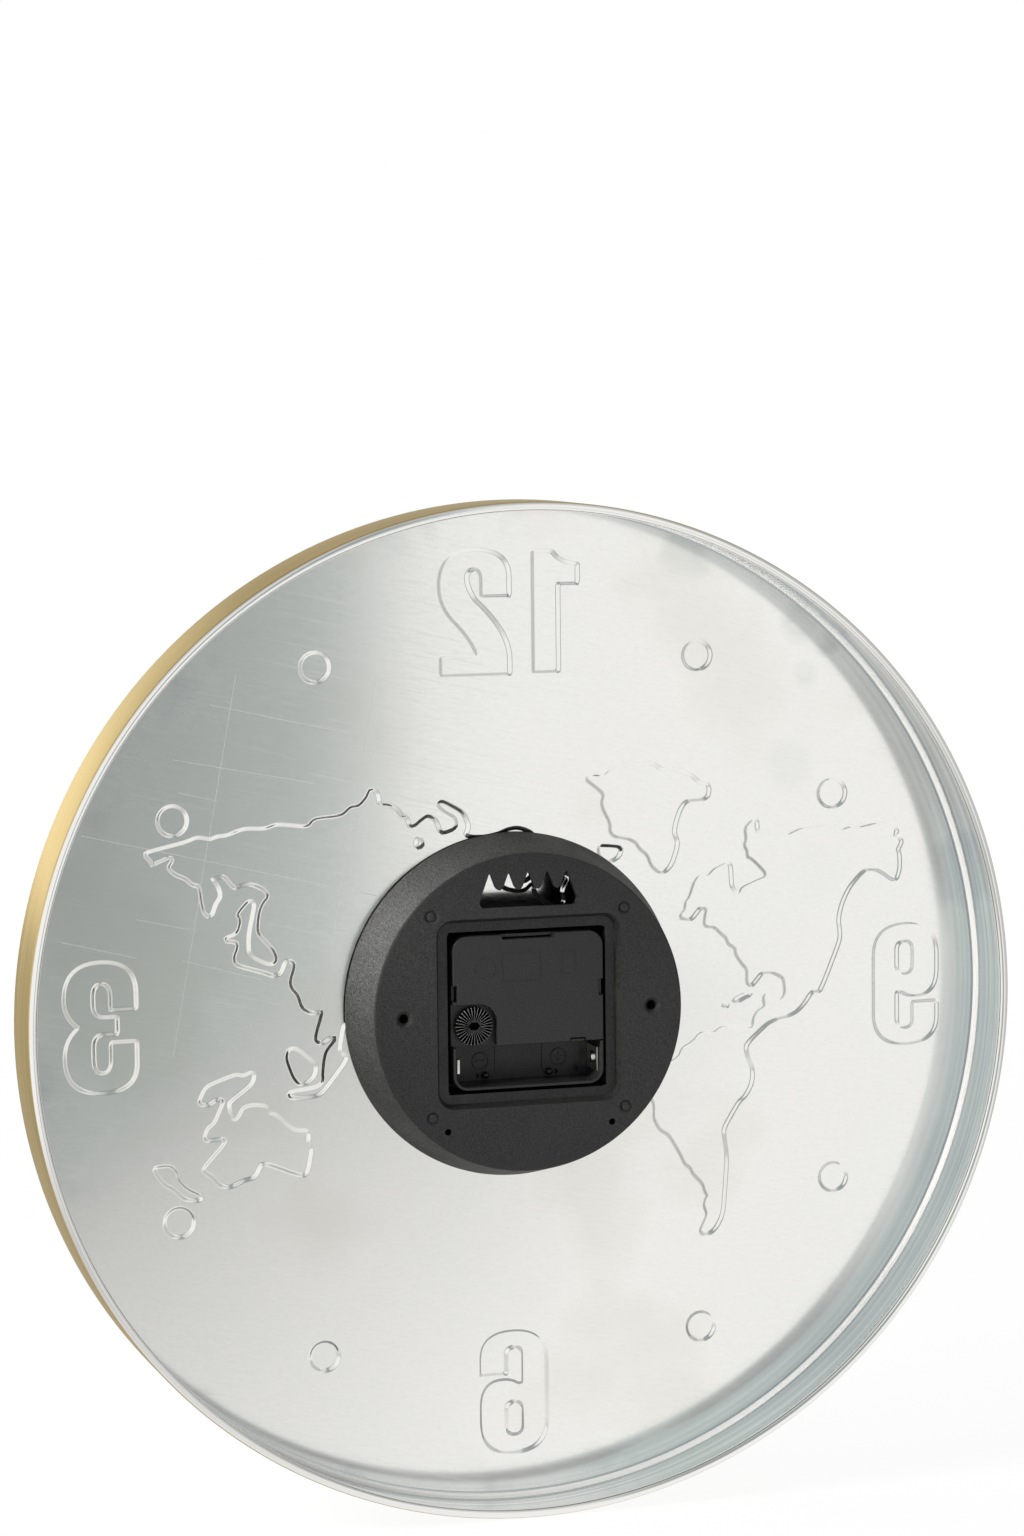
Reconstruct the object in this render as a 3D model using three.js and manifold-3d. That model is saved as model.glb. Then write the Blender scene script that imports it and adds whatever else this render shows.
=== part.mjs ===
import * as THREE from 'three';
import { mergeVertices } from 'three/addons/utils/BufferGeometryUtils.js';
import Module from 'manifold-3d';

const wasm = await Module();
wasm.setup();

// A wall clock with a world map pressed into its dial.
// Millimetres, +Z up, the dial faces -Y, the wall is at +Y.
// Depths are counted from the rear edge of the pan, y = 0, until the whole clock is centred at the end.

// Fits
const fitGap = 0.3; // between pieces that touch
const seatGap = 0.1; // round a piece pressed or slid onto another
const runGap = 0.06; // radial, between a turning piece and its bearing
const endPlay = 0.2; // between the end of an arbor and its seat

// Pan pressed from one sheet: dial, skirt and rolled rear edge
const panRadius = 185;
const panDepth = 30.2;
const sheet = 0.7;
const panFillet = 5.5;
const beadDiameter = 2.9;
const embossHeight = 1.3;
const embossWall = 0.8;
const artMargin = 10.3; // flat band between the pressed figures and the fillet
const dotCircle = 145.5;
const dotRadius = 5.4;
const seatMargin = 1.5; // flat seat left round the washer

// Housing behind the dial
const housingFaceRadius = 58.3;
const housingBaseRadius = 63.5;
const housingDepth = 21.7;
const housingWall = 2;
const housingFloor = 2;
const windowGap = 1.5; // round the movement
const landMargin = 4.3; // recessed land outside the window
const landDepth = 2.5;
const landCorner = 5.5;
const bumpInset = 6.5; // from the edge of the rear face
const bumpRadius = 1.8;
const bumpHeight = 0.8;
const screwInset = 11.3;
const screwHoleRadius = 1.7;
const screwHeadRadius = 3.1;
const ventInset = 6;
const ventRadius = 1.25;
const ventAngle = THREE.MathUtils.degToRad(53.4); // below the horizontal, on both sides

// Saw-tooth slot that hangs on a wall hook
const hangerInset = 7.3;
const hangerWidth = 36.8;
const hangerHeight = 12.4;
const hangerNotches = 5;
const hangerPitch = 7.25;
const hangerToothDepth = 6.2;

// Case of the movement, sized by the battery that it takes
const cellLength = 50.5;
const cellDiameter = 14.5;
const cellPlay = 0.3;
const contactRoom = 2.05; // at each end of the battery
const contactSheet = 0.4;
const contactWidth = 9;
const caseWall = 1.2;
const caseFloor = 1.8;
const caseCorner = 5.5;
const bayCorner = 2.5;
const movementDepth = 16.5;
const coverDepth = 5.7;
const snapWidth = 5.8;
const snapDepth = 1.6;
const tabWidth = 20.4;
const tabDepth = 1.3;
const notchDepth = 2.5;
const latchShare = 0.66; // distance of the latch from the middle, as a share of the half width

// Centre fixing through housing and dial
const bushRadius = 5;
const bushFlange = 7;
const bushFlangeThickness = 0.8;
const bushProud = 0.5;
const rubberRadius = 12;
const rubberThickness = 1.5;
const washerRadius = 9;
const washerThickness = 0.8;
const nutAcrossFlats = 14;
const nutThickness = 2.6;

// Hands, and the time that they show
const hourLength = 84;
const hourWidth = 9;
const minuteLength = 120;
const minuteWidth = 7;
const secondLength = 124;
const secondTail = 34;
const secondWidth = 1.6;
const handThickness = 0.6;
const handSpace = 0.8;
const handTip = 0.2; // arbor standing out in front of its hand
const hubShare = 0.8; // radius of a hub, as a share of the hand's width
const tipShare = 0.28; // half width at the tip, as a share of the width
const capRadius = 3.2;
const capThickness = 0.6;
const shownHour = 10;
const shownMinute = 10;
const shownSecond = 35;

// Wheel train: tooth counts give the ratios 30, 60 and 12
const secondsShaft = 0.5;
const minuteTube = 1.6;
const hourTube = 2.5;
const pivotRadius = 0.5;
const postRadius = 0.8;
const stemRadius = 1.6;
const wheelThickness = 0.8;
const layerPitch = 1.3;
const pinionOverhang = 0.15;
const wheelSpace = 0.9; // between a wheel's teeth and the case
const pivotDepth = 0.7;
const thirdDistance = 10.4;
const stepDistance = 10.8;
const rotorDistance = 7.56;
const thirdAngle = THREE.MathUtils.degToRad(120);
const stepAngle = THREE.MathUtils.degToRad(40);
const rotorAngle = THREE.MathUtils.degToRad(75);
const pinionTeeth = 6;
const stepTeeth = 36;
const secondsTeeth = 30;
const thirdTeeth = 45;
const minuteTeeth = 48;
const cannonTeeth = 10;
const worksTeeth = 30;
const worksPinionTeeth = 8;
const hourTeeth = 32;
const toothTip = 0.75; // in modules
const toothRoot = 1.15;
const toothRootShare = 0.26; // half width of a tooth at its root, as a share of the pitch

// Setting knob
const knobRadius = 7;
const knobInset = 1.1; // from the side of the case
const knobLift = 0.4; // above the battery bay
const knobSerrations = 40;
const knobSerration = 0.35;
const knobSunk = 0.4;
const knobSocket = 2;
const knobSocketDepth = 1.4;
const pocketDepth = 3.6;
const pocketSide = 1.5;
const pocketTop = 1;

// Stepping motor and electronics
const magnetRadius = 3;
const magnetThickness = 1.4;
const magnetHub = 1;
const airGap = 0.6;
const statorThickness = 1;
const statorBar = 4.4;
const statorRing = 2; // iron round the rotor hole
const statorArm = 5;
const statorInset = 3.5; // from the inside of the case
const coreWidth = 3;
const coreThickness = 1.2;
const coilBarrel = 2.2;
const coilRadius = 3.3;
const coilFlange = 1;
const windingInset = 0.3; // below the rim of the bobbin
const motorSpace = 0.5; // between layers of the motor
const boardThickness = 1;
const boardInset = 0.5;
const boardHeight = 19;
const chipSize = 5;
const chipThickness = 1;
const crystalRadius = 1;
const crystalLength = 6;

// Facets round a turn
const panSides = 64;
const housingSides = 48;
const tubeSides = 24;
const pinSides = 12;
const curveSteps = 3;

// Depths from front to rear
const dialFront = -panDepth;
const dialBack = dialFront + sheet;
const housingFront = dialBack + fitGap;
const housingRear = housingFront + housingDepth;
const pocketFloor = housingFront + housingFloor;
const rubberFront = pocketFloor + fitGap;
const rubberRear = rubberFront + rubberThickness;
const caseFront = rubberRear + fitGap;
const caseInside = caseFront + caseFloor;
const caseRear = caseFront + movementDepth;
const coverFront = caseRear - coverDepth;
const coverInside = caseRear - caseWall;
const caseSplit = coverFront - fitGap;
const flangeFront = caseInside + seatGap;
const flangeRear = flangeFront + bushFlangeThickness;
const washerRear = dialFront - fitGap;
const washerFront = washerRear - washerThickness;
const nutRear = washerFront - fitGap;
const nutFront = nutRear - nutThickness;
const bushFront = nutFront - bushProud;
const hourHandRear = bushFront - handSpace;
const hourTubeFront = hourHandRear - handThickness - handTip;
const minuteHandRear = hourTubeFront - handSpace;
const minuteTubeFront = minuteHandRear - handThickness - handTip;
const secondHandRear = minuteTubeFront - handSpace;
const secondShaftFront = secondHandRear - handThickness;
const clockFront = secondShaftFront - capThickness;
const beyond = panDepth; // how far a cut runs past the piece

// Wheel layers, counted from the dial side
const layerFront = (n) => flangeRear + fitGap + n * layerPitch;
const layerRear = (n) => layerFront(n) + wheelThickness;
const hourLayer = 0;
const worksLayer = 1;
const minuteLayer = 2;
const thirdLayer = 3;
const secondsLayer = 4;
const stepLayer = 5;
const statorFront = layerRear(stepLayer) + motorSpace;
const statorRear = statorFront + statorThickness;
const coreRear = statorFront - fitGap;
const coreFront = coreRear - coreThickness;

// Wheel sizes from the centre distances
const share = (distance, own, other) => distance * own / (own + other);
const tipOf = (radius, teeth) => radius + toothTip * 2 * radius / teeth;
const minuteWheelRadius = share(thirdDistance, minuteTeeth, pinionTeeth);
const thirdWheelRadius = share(thirdDistance, thirdTeeth, pinionTeeth);
const secondsWheelRadius = share(stepDistance, secondsTeeth, pinionTeeth);
const stepWheelRadius = share(rotorDistance, stepTeeth, pinionTeeth);

// Room for the wheels inside the case
const polar = (radius, angle) => [radius * Math.cos(angle), radius * Math.sin(angle)];
const centre = [0, 0];
const thirdAxis = polar(thirdDistance, thirdAngle);
const stepAxis = polar(stepDistance, stepAngle);
const rotorReach = polar(rotorDistance, rotorAngle);
const rotorAxis = [stepAxis[0] + rotorReach[0], stepAxis[1] + rotorReach[1]];
const minuteTip = tipOf(minuteWheelRadius, minuteTeeth);
const secondsTip = tipOf(secondsWheelRadius, secondsTeeth);
const thirdTip = tipOf(thirdWheelRadius, thirdTeeth);
const roomBelow = Math.max(minuteTip, secondsTip) + wheelSpace;
const rotorHole = magnetRadius + airGap;
const statorTop = rotorAxis[1] + rotorHole + statorRing;
const coilHeight = Math.max(thirdAxis[1] + thirdTip, statorTop) + motorSpace + coilRadius;
const roomTop = coilHeight + coilRadius + motorSpace;
const bayHeight = cellDiameter + cellPlay;
const bayTop = -roomBelow - caseWall;
const bayBottom = bayTop - bayHeight;
const caseBottom = bayBottom - caseWall;
const caseTop = roomTop + caseWall;
const caseMiddle = (caseTop + caseBottom) / 2;
const movementHeight = caseTop - caseBottom;
const movementWidth = cellLength + 2 * (contactRoom + caseWall);
const roomHalf = movementWidth / 2 - caseWall;
const windowWidth = movementWidth + 2 * windowGap;
const windowHeight = movementHeight + 2 * windowGap;

// The knob drives the works wheel, which stands half way between the knob and the centre
const knobAxis = [movementWidth / 2 - knobInset - knobRadius, bayTop + knobLift + knobRadius];
const worksAxis = [knobAxis[0] / 2, knobAxis[1] / 2];
const worksDistance = Math.hypot(...worksAxis);
const worksAngle = Math.atan2(worksAxis[1], worksAxis[0]);
const worksWheelRadius = share(worksDistance, worksTeeth, cannonTeeth);
const cannonRadius = share(worksDistance, cannonTeeth, worksTeeth);
const worksPinionRadius = share(worksDistance, worksPinionTeeth, hourTeeth);
const hourWheelRadius = share(worksDistance, hourTeeth, worksPinionTeeth);

// Figures pressed into the dial, seen from the front, x to the right and z up
const america = [
  [-152, 58], [-144, 60.5], [-137, 59], [-129, 58.5], [-124, 60.5], [-114, 60], [-108, 57.5], [-96.5, 59.5],
  [-96, 64], [-94, 64], [-91.5, 60], [-91.5, 55], [-92.5, 50], [-94.5, 49], [-99.5, 44], [-98.5, 42],
  [-90, 39], [-88.5, 36.5], [-86, 40], [-85.5, 48.5], [-79, 46.5], [-77, 44], [-73, 44.5], [-71, 41.5],
  [-69, 35.5], [-67.5, 31.5], [-65.5, 29], [-67, 28], [-70.5, 28], [-73, 32], [-75.5, 32], [-75, 25],
  [-79.5, 24.5], [-84, 20], [-84.5, 18], [-87.5, 15.5], [-88, 13], [-92, 8], [-91.5, 2.5], [-93.5, 1.5],
  [-98, 6], [-102, 6], [-106.5, 4], [-107, -1], [-105, -4], [-98.5, -1.5], [-99, -6.5], [-96, -7.5],
  [-94, -14], [-81, -13], [-78.5, -15], [-73, -14.5], [-66, -20], [-64, -24], [-51, -29], [-52, -36],
  [-55, -41], [-55, -47], [-57, -50.5], [-61, -52.5], [-67, -64], [-70, -68], [-74, -72], [-75.5, -77],
  [-74.5, -81], [-75.5, -84], [-72.5, -90], [-76, -91], [-80, -88], [-82, -84], [-83.5, -61], [-82, -52],
  [-88, -42], [-92.5, -38], [-94, -31], [-91.5, -22], [-93.5, -18], [-101, -12.5], [-110, -10], [-115, -6],
  [-118, -1.5], [-121, -2.5], [-129.5, 18], [-128.5, 26], [-131, 34], [-139, 43.5], [-146, 42], [-152, 38.5],
  [-153.5, 45], [-152.5, 50], [-154, 54],
];
const greenland = [
  [-77, 78], [-72, 80.5], [-70, 82], [-63, 84.5], [-59.5, 84], [-55, 87], [-45, 87], [-38, 84.5],
  [-36.5, 82.5], [-31, 83], [-29.5, 81.5], [-36, 77], [-35.5, 72], [-38.5, 65], [-39, 61], [-47, 58.5],
  [-50, 55], [-53, 53], [-55, 48], [-58, 46], [-61, 47], [-65, 56], [-63.5, 61], [-67, 71],
  [-70, 72], [-76, 72], [-77.5, 75],
];
const iceland = [[-43, 55], [-41, 56.5], [-34.5, 57], [-34, 54], [-38, 50.5], [-41.5, 52.5]];
const cuba = [[-94, -1], [-90, -1], [-86, -3.5], [-88, -4.5]];
const hispaniola = [[-84.5, -4.5], [-81.5, -4], [-82, -6], [-84, -6]];
const britain = [[-21, 36], [-15.5, 37], [-17, 43], [-20, 48.5], [-22.5, 46], [-19.5, 41]];
const kolguyev = [[32.5, 61], [34.5, 63], [36, 61], [34.5, 59]];
const madagascar = [[19, -35], [23, -36], [20, -46], [17.5, -43]];
const borneo = [[82, -11.5], [75, -18], [75, -22], [78, -25], [81, -25], [85.5, -15]];
const eurasia = [
  [-9, 57], [-4, 64], [-1, 65], [4, 63], [9, 62.5], [17, 62.5], [15.5, 66], [18, 72],
  [25.5, 76], [27, 74.5], [20.5, 69], [20, 66], [26.5, 64], [28, 69], [31, 71], [35, 68],
  [38, 67], [39, 71], [41, 71], [45, 75], [49.5, 75.5], [50, 80], [53, 81], [57, 75.5],
  [60, 75.5], [63, 72], [74, 71.5], [76, 68.5], [87, 70], [92, 68.5], [100, 69], [110, 66.5],
  [117, 66.5], [136, 62], [133.5, 57], [127.5, 60], [126, 58.5], [128, 56], [119, 49.5], [116.5, 49],
  [115, 39], [112, 38], [108.5, 45], [111.5, 51.5], [107.5, 52.5], [103.5, 47.5], [97, 48.5], [91, 44.5],
  [94.5, 40], [95.5, 30], [88.5, 22.5], [90, 19.5], [98, 23], [98.5, 30], [96.5, 41], [98.5, 43],
  [103, 38], [101.5, 35], [103, 31], [107.5, 29.5], [103, 27.5], [104, 20], [89, 15], [84.5, 20.5],
  [81.5, 19], [83.5, 12], [80.5, 7], [79, 2], [71.5, 1], [75, -9.5], [67.5, -8.5], [71, -14],
  [72, -25], [85, -28], [84, -30], [72.5, -29], [63, -17], [65.5, -14.5], [63.5, -4], [58, -2],
  [54, 6], [49, -3], [45.5, -14], [42, -2], [38, 4], [28, 7], [23, 12], [31, 1],
  [28, -5], [18.5, -8], [10.5, 7], [16.5, -10], [25, -10], [16, -24], [16, -38], [10, -50],
  [4, -58], [-2, -61], [-8, -46], [-7, -36], [-10, -27], [-9, -20], [-25, -19], [-31, -11],
  [-30, -2], [-22, 14], [-9, 18], [-8, 13], [9, 10], [11, 17], [3, 18], [4, 22],
  [1, 18], [-2, 25], [-7, 29], [-4, 20], [-11, 29], [-15, 26], [-17, 21], [-24, 21],
  [-24, 28], [-18, 28], [-19, 33], [-9, 40], [-9, 45], [-5, 41], [4, 43], [4, 51],
  [0, 52], [-2, 45], [-6, 45], [-12, 50],
];
const australia = [
  [98, -19.5], [97.5, -22.5], [107, -30.5], [106, -36], [104.5, -36.5], [101.5, -32], [93.5, -32], [92, -35],
  [84, -41], [77.5, -42], [78, -47], [76.5, -49], [79, -59], [94, -53], [97.5, -57.5], [107, -61],
  [111, -60.5], [117, -54], [108.5, -44], [115.5, -43.5], [116, -41], [112.5, -37.5], [109, -29.5],
  [115, -31], [118, -29.5], [115, -24], [104, -20],
];
const zealand = [
  [117, -64.5], [125.5, -58.5], [127, -54], [129, -52], [135, -52.5], [131.5, -58.5], [128, -60.5],
  [120, -65.5],
];

// Numerals: lines and curves, as move, line and curve steps
function figure(steps) {
  const path = new THREE.Path();
  path.moveTo(...steps[0]);
  for (const step of steps.slice(1)) {
    if (step.length === 2) {
      path.lineTo(...step);
    } else {
      path.quadraticCurveTo(...step);
    }
  }
  return path.getPoints(curveSteps).map((point) => [point.x, point.y]);
}
const one = figure([
  [-9.6, 121.8], [-9.6, 166], [-17, 166], [-19.5, 161.5, -26.8, 161], [-26.8, 153.8], [-19.3, 153.8],
  [-19.3, 121.8],
]);
const two = figure([
  [-0.7, 121.5], [25.6, 121.5], [25.6, 128.5], [12, 128.5], [13, 133, 19.5, 140], [26, 146, 26, 154],
  [26, 167, 13, 167], [-0.7, 167, -0.7, 157], [-0.7, 150], [10, 150], [10, 156], [10, 160, 13, 160],
  [18, 158, 12.5, 149], [-0.7, 137, -0.7, 127],
]);
const three = figure([
  [140.3, 6], [140.3, 12], [140.3, 23.3, 153, 23.3], [166.6, 23.3, 166.6, 10], [166.6, 4, 161.5, 0],
  [166.6, -4, 166.6, -11], [166.6, -24, 153, -24], [140.3, -24, 140.3, -14], [140.3, -5.7], [149.8, -5.7],
  [149.8, -12], [149.8, -16.8, 153, -16.8], [156, -16.8, 156, -12], [156, -7], [156, -2.8, 152, -2.8],
  [147.3, -2.8], [147.3, 3.4], [152, 3.4], [156, 3.4, 156, 8], [156, 11], [156, 15.4, 153, 15.4],
  [149.7, 15.4, 149.7, 11], [149.7, 6],
]);
const six = figure([
  [13.5, -138], [13.5, -132], [13.5, -122, 1, -122], [-12.2, -122, -12.2, -134], [-12.2, -156],
  [-12.2, -168, 1, -168], [13.5, -168, 13.5, -156], [13.5, -150], [13.5, -140.2, 5, -140.2],
  [1, -140.2, -1, -142], [-2.7, -142], [-2.7, -131], [-2.7, -128.2, 0.4, -128.2], [3.5, -128.2, 3.5, -131],
  [3.5, -138],
]);
const sixEye = figure([
  [-2.7, -152], [-2.7, -148.8, 0.4, -148.8], [3.6, -148.8, 3.6, -152], [3.6, -158],
  [3.6, -161.2, 0.4, -161.2], [-2.7, -161.2, -2.7, -158],
]);
const turnPoint = [-77.4, -72.9]; // the nine is the six turned half round this point
const turned = (points) => points.map(([x, z]) => [2 * turnPoint[0] - x, 2 * turnPoint[1] - z]);
const nine = turned(six);
const nineEye = turned(sixEye);

// Makes an outline run anticlockwise
function anticlockwise(points) {
  const vectors = points.map(([x, z]) => new THREE.Vector2(x, z));
  return THREE.ShapeUtils.isClockWise(vectors) ? points.toReversed() : points;
}

// Moves every side of an outline outward by a distance, with blunted points
function grow(points, distance) {
  const sharpest = 0.6;
  return points.map(([x, z], i) => {
    const [x0, z0] = points.at(i - 1);
    const [x1, z1] = points[(i + 1) % points.length];
    const before = new THREE.Vector2(z - z0, x0 - x).normalize();
    const after = new THREE.Vector2(z1 - z, x - x1).normalize();
    const corner = before.clone().add(after).normalize();
    const reach = distance / Math.max(sharpest, corner.dot(before));
    return [x + corner.x * reach, z + corner.y * reach];
  });
}

// Joining and cutting
function solidOf(geometry) {
  geometry.deleteAttribute('normal');
  geometry.deleteAttribute('uv');
  const merged = mergeVertices(geometry);
  const corners = merged.index.array;
  const triangles = [];
  for (let i = 0; i < corners.length; i += 3) {
    const [a, b, c] = corners.slice(i, i + 3);
    if (a !== b && b !== c && c !== a) {
      triangles.push(a, b, c);
    }
  }
  const vertProperties = new Float32Array(merged.attributes.position.array);
  const triVerts = new Uint32Array(triangles);
  return new wasm.Manifold(new wasm.Mesh({ numProp: 3, vertProperties, triVerts }));
}
const joined = (solids) => solids.reduce((all, solid) => all.add(solid));
const cutBy = (solid, tools) => tools.reduce((left, tool) => left.subtract(tool), solid);

// Turned solids about the Y axis: a profile of [radius, depth] points, a rod and a ring
function turning(profile, sides) {
  return solidOf(new THREE.LatheGeometry(profile.map(([r, y]) => new THREE.Vector2(r, y)), sides));
}
function rod(radius, front, rear, sides = pinSides) {
  return turning([[0, front], [radius, front], [radius, rear], [0, rear]], sides);
}
function ring(inner, outer, front, rear, sides = tubeSides) {
  return turning([[inner, front], [outer, front], [outer, rear], [inner, rear], [inner, front]], sides);
}
const at = ([x, z], solid) => solid.translate([x, 0, z]);

// Flat solids: an outline in x and z, from one depth to another
function shapeOf(points, holes = []) {
  const shape = new THREE.Shape(points.map(([x, z]) => new THREE.Vector2(x, z)));
  shape.holes = holes.map((hole) => new THREE.Path(hole.map(([x, z]) => new THREE.Vector2(x, z))));
  return shape;
}
function plate(shape, front, rear) {
  const geometry = new THREE.ExtrudeGeometry(shape, { depth: rear - front, bevelEnabled: false });
  geometry.rotateX(Math.PI / 2);
  geometry.translate(0, rear, 0);
  return solidOf(geometry);
}
function block(left, right, front, rear, bottom, top) {
  const geometry = new THREE.BoxGeometry(right - left, rear - front, top - bottom);
  geometry.translate((left + right) / 2, (front + rear) / 2, (bottom + top) / 2);
  return solidOf(geometry);
}

// A rectangle with its own radius at the top and at the bottom corners, round a middle of x = 0
function panel(width, bottom, top, lowerCorner, upperCorner) {
  const half = width / 2;
  const points = [];
  const corner = (x, z, radius, start) => {
    const steps = radius > 0 ? curveSteps : 0;
    for (let i = 0; i <= steps; i += 1) {
      const [dx, dz] = polar(radius, start + (steps ? i / steps : 0) * Math.PI / 2);
      points.push([x + dx, z + dz]);
    }
  };
  corner(half - lowerCorner, bottom + lowerCorner, lowerCorner, -Math.PI / 2);
  corner(half - upperCorner, top - upperCorner, upperCorner, 0);
  corner(-half + upperCorner, top - upperCorner, upperCorner, Math.PI / 2);
  corner(-half + lowerCorner, bottom + lowerCorner, lowerCorner, Math.PI);
  return shapeOf(points);
}

// A toothed wheel, with a tooth centred on the phase angle
function toothed(teeth, radius, phase, layer, overhang = 0) {
  const pitch = 2 * Math.PI / teeth;
  const size = 2 * radius / teeth;
  const points = [];
  for (let i = 0; i < teeth; i += 1) {
    const middle = phase + i * pitch;
    points.push(polar(radius - toothRoot * size, middle - toothRootShare * pitch));
    points.push(polar(radius + toothTip * size, middle));
    points.push(polar(radius - toothRoot * size, middle + toothRootShare * pitch));
  }
  return plate(shapeOf(points), layerFront(layer) - overhang, layerRear(layer) + overhang);
}

// Phase of a wheel whose gap meets the tooth that its neighbour points along an angle
const meshing = (angle, teeth) => angle + Math.PI - Math.PI / teeth;

function finish(color, roughness, metalness) {
  return new THREE.MeshStandardMaterial({ color, roughness, metalness });
}
const pressedAluminium = finish(0xc9a868, 0.35, 1);
const blackPlastic = finish(0x222222, 0.6, 0);
const brass = finish(0xb08d45, 0.35, 1);
const rubber = finish(0x1c1c1c, 0.9, 0);
const blackLacquer = finish(0x151515, 0.4, 0.2);
const whiteNylon = finish(0xe8e6df, 0.5, 0);
const magnetGrey = finish(0x3a3a3c, 0.45, 0.6);
const softIron = finish(0x8a8c8e, 0.4, 1);
const copper = finish(0xa8562e, 0.35, 1);
const boardBrown = finish(0x6b4a26, 0.6, 0);
const nickel = finish(0xc8c8c4, 0.25, 1);

const clock = new THREE.Group();

function addPiece(name, solid, material) {
  const { vertProperties, triVerts } = solid.getMesh();
  const geometry = new THREE.BufferGeometry();
  geometry.setAttribute('position', new THREE.BufferAttribute(vertProperties, 3));
  geometry.setIndex(new THREE.BufferAttribute(triVerts, 1));
  geometry.computeVertexNormals();
  const mesh = new THREE.Mesh(geometry, material);
  mesh.name = name;
  clock.add(mesh);
}

// The pressed pan
function panBlank() {
  const beadRadius = beadDiameter / 2;
  const beadMiddle = panRadius - beadRadius;
  const arc = (x, y, radius, from, to, steps) => Array.from({ length: steps + 1 }, (_, i) => {
    const [dx, dy] = polar(radius, from + (to - from) * i / steps);
    return [x + dx, y + dy];
  });
  const filletX = panRadius - panFillet;
  const filletY = dialFront + panFillet;
  const rolled = arc(beadMiddle, -beadRadius, beadRadius, 0, 1.5 * Math.PI, 2 * curveSteps);
  const rolledInside = arc(beadMiddle, -beadRadius, beadRadius - sheet, 1.5 * Math.PI, 0, curveSteps);
  const profile = [
    [0, dialFront],
    ...arc(filletX, filletY, panFillet, -Math.PI / 2, 0, curveSteps),
    ...rolled,
    ...rolledInside,
    ...arc(filletX, filletY, panFillet - sheet, 0, -Math.PI / 2, curveSteps),
    [0, dialBack],
  ];
  return turning(profile, panSides);
}
function hourDots() {
  const hours = [1, 2, 4, 5, 7, 8, 10, 11];
  return hours.map((hour) => {
    const [x, z] = polar(dotCircle, Math.PI / 2 - hour * Math.PI / 6);
    return Array.from({ length: pinSides }, (_, i) => {
      const [dx, dz] = polar(dotRadius, 2 * Math.PI * i / pinSides);
      return [x + dx, z + dz];
    });
  });
}
function dialTray() {
  const plain = [
    america, greenland, iceland, cuba, hispaniola, britain, kolguyev, madagascar, borneo, eurasia,
    australia, zealand, one, two, three, ...hourDots(),
  ];
  const figures = [...plain.map((points) => [points]), [six, sixEye], [nine, nineEye]];
  const drawnReach = Math.max(...figures.flat(2).map(([x, z]) => Math.hypot(x, z)));
  const artScale = (panRadius - panFillet - artMargin) / drawnReach;
  const scaled = (points) => anticlockwise(points).map(([x, z]) => [x * artScale, z * artScale]);
  const pads = [];
  const hollows = [];
  for (const [drawn, ...eyes] of figures) {
    const edge = scaled(drawn);
    const holes = eyes.map(scaled);
    const half = embossWall / 2;
    const outer = shapeOf(grow(edge, half), holes.map((hole) => grow(hole, -half)));
    const inner = shapeOf(grow(edge, -half), holes.map((hole) => grow(hole, half)));
    pads.push(plate(outer, dialFront - embossHeight, dialFront + sheet / 2));
    hollows.push(plate(inner, dialBack - embossHeight, dialBack + beyond));
  }
  const seatRadius = washerRadius + seatMargin;
  const seat = rod(seatRadius, dialFront - beyond, dialFront, tubeSides);
  const seatBack = rod(seatRadius + embossWall, dialFront - beyond, dialBack + 2 * beyond, tubeSides);
  const centreHole = rod(bushRadius + fitGap, dialFront - beyond, dialBack + beyond, tubeSides);
  const raised = joined(pads).subtract(seat);
  const hollowed = joined(hollows).subtract(seatBack);
  return cutBy(panBlank().add(raised), [hollowed, centreHole]);
}
addPiece('dial_tray', dialTray(), pressedAluminium);

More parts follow.
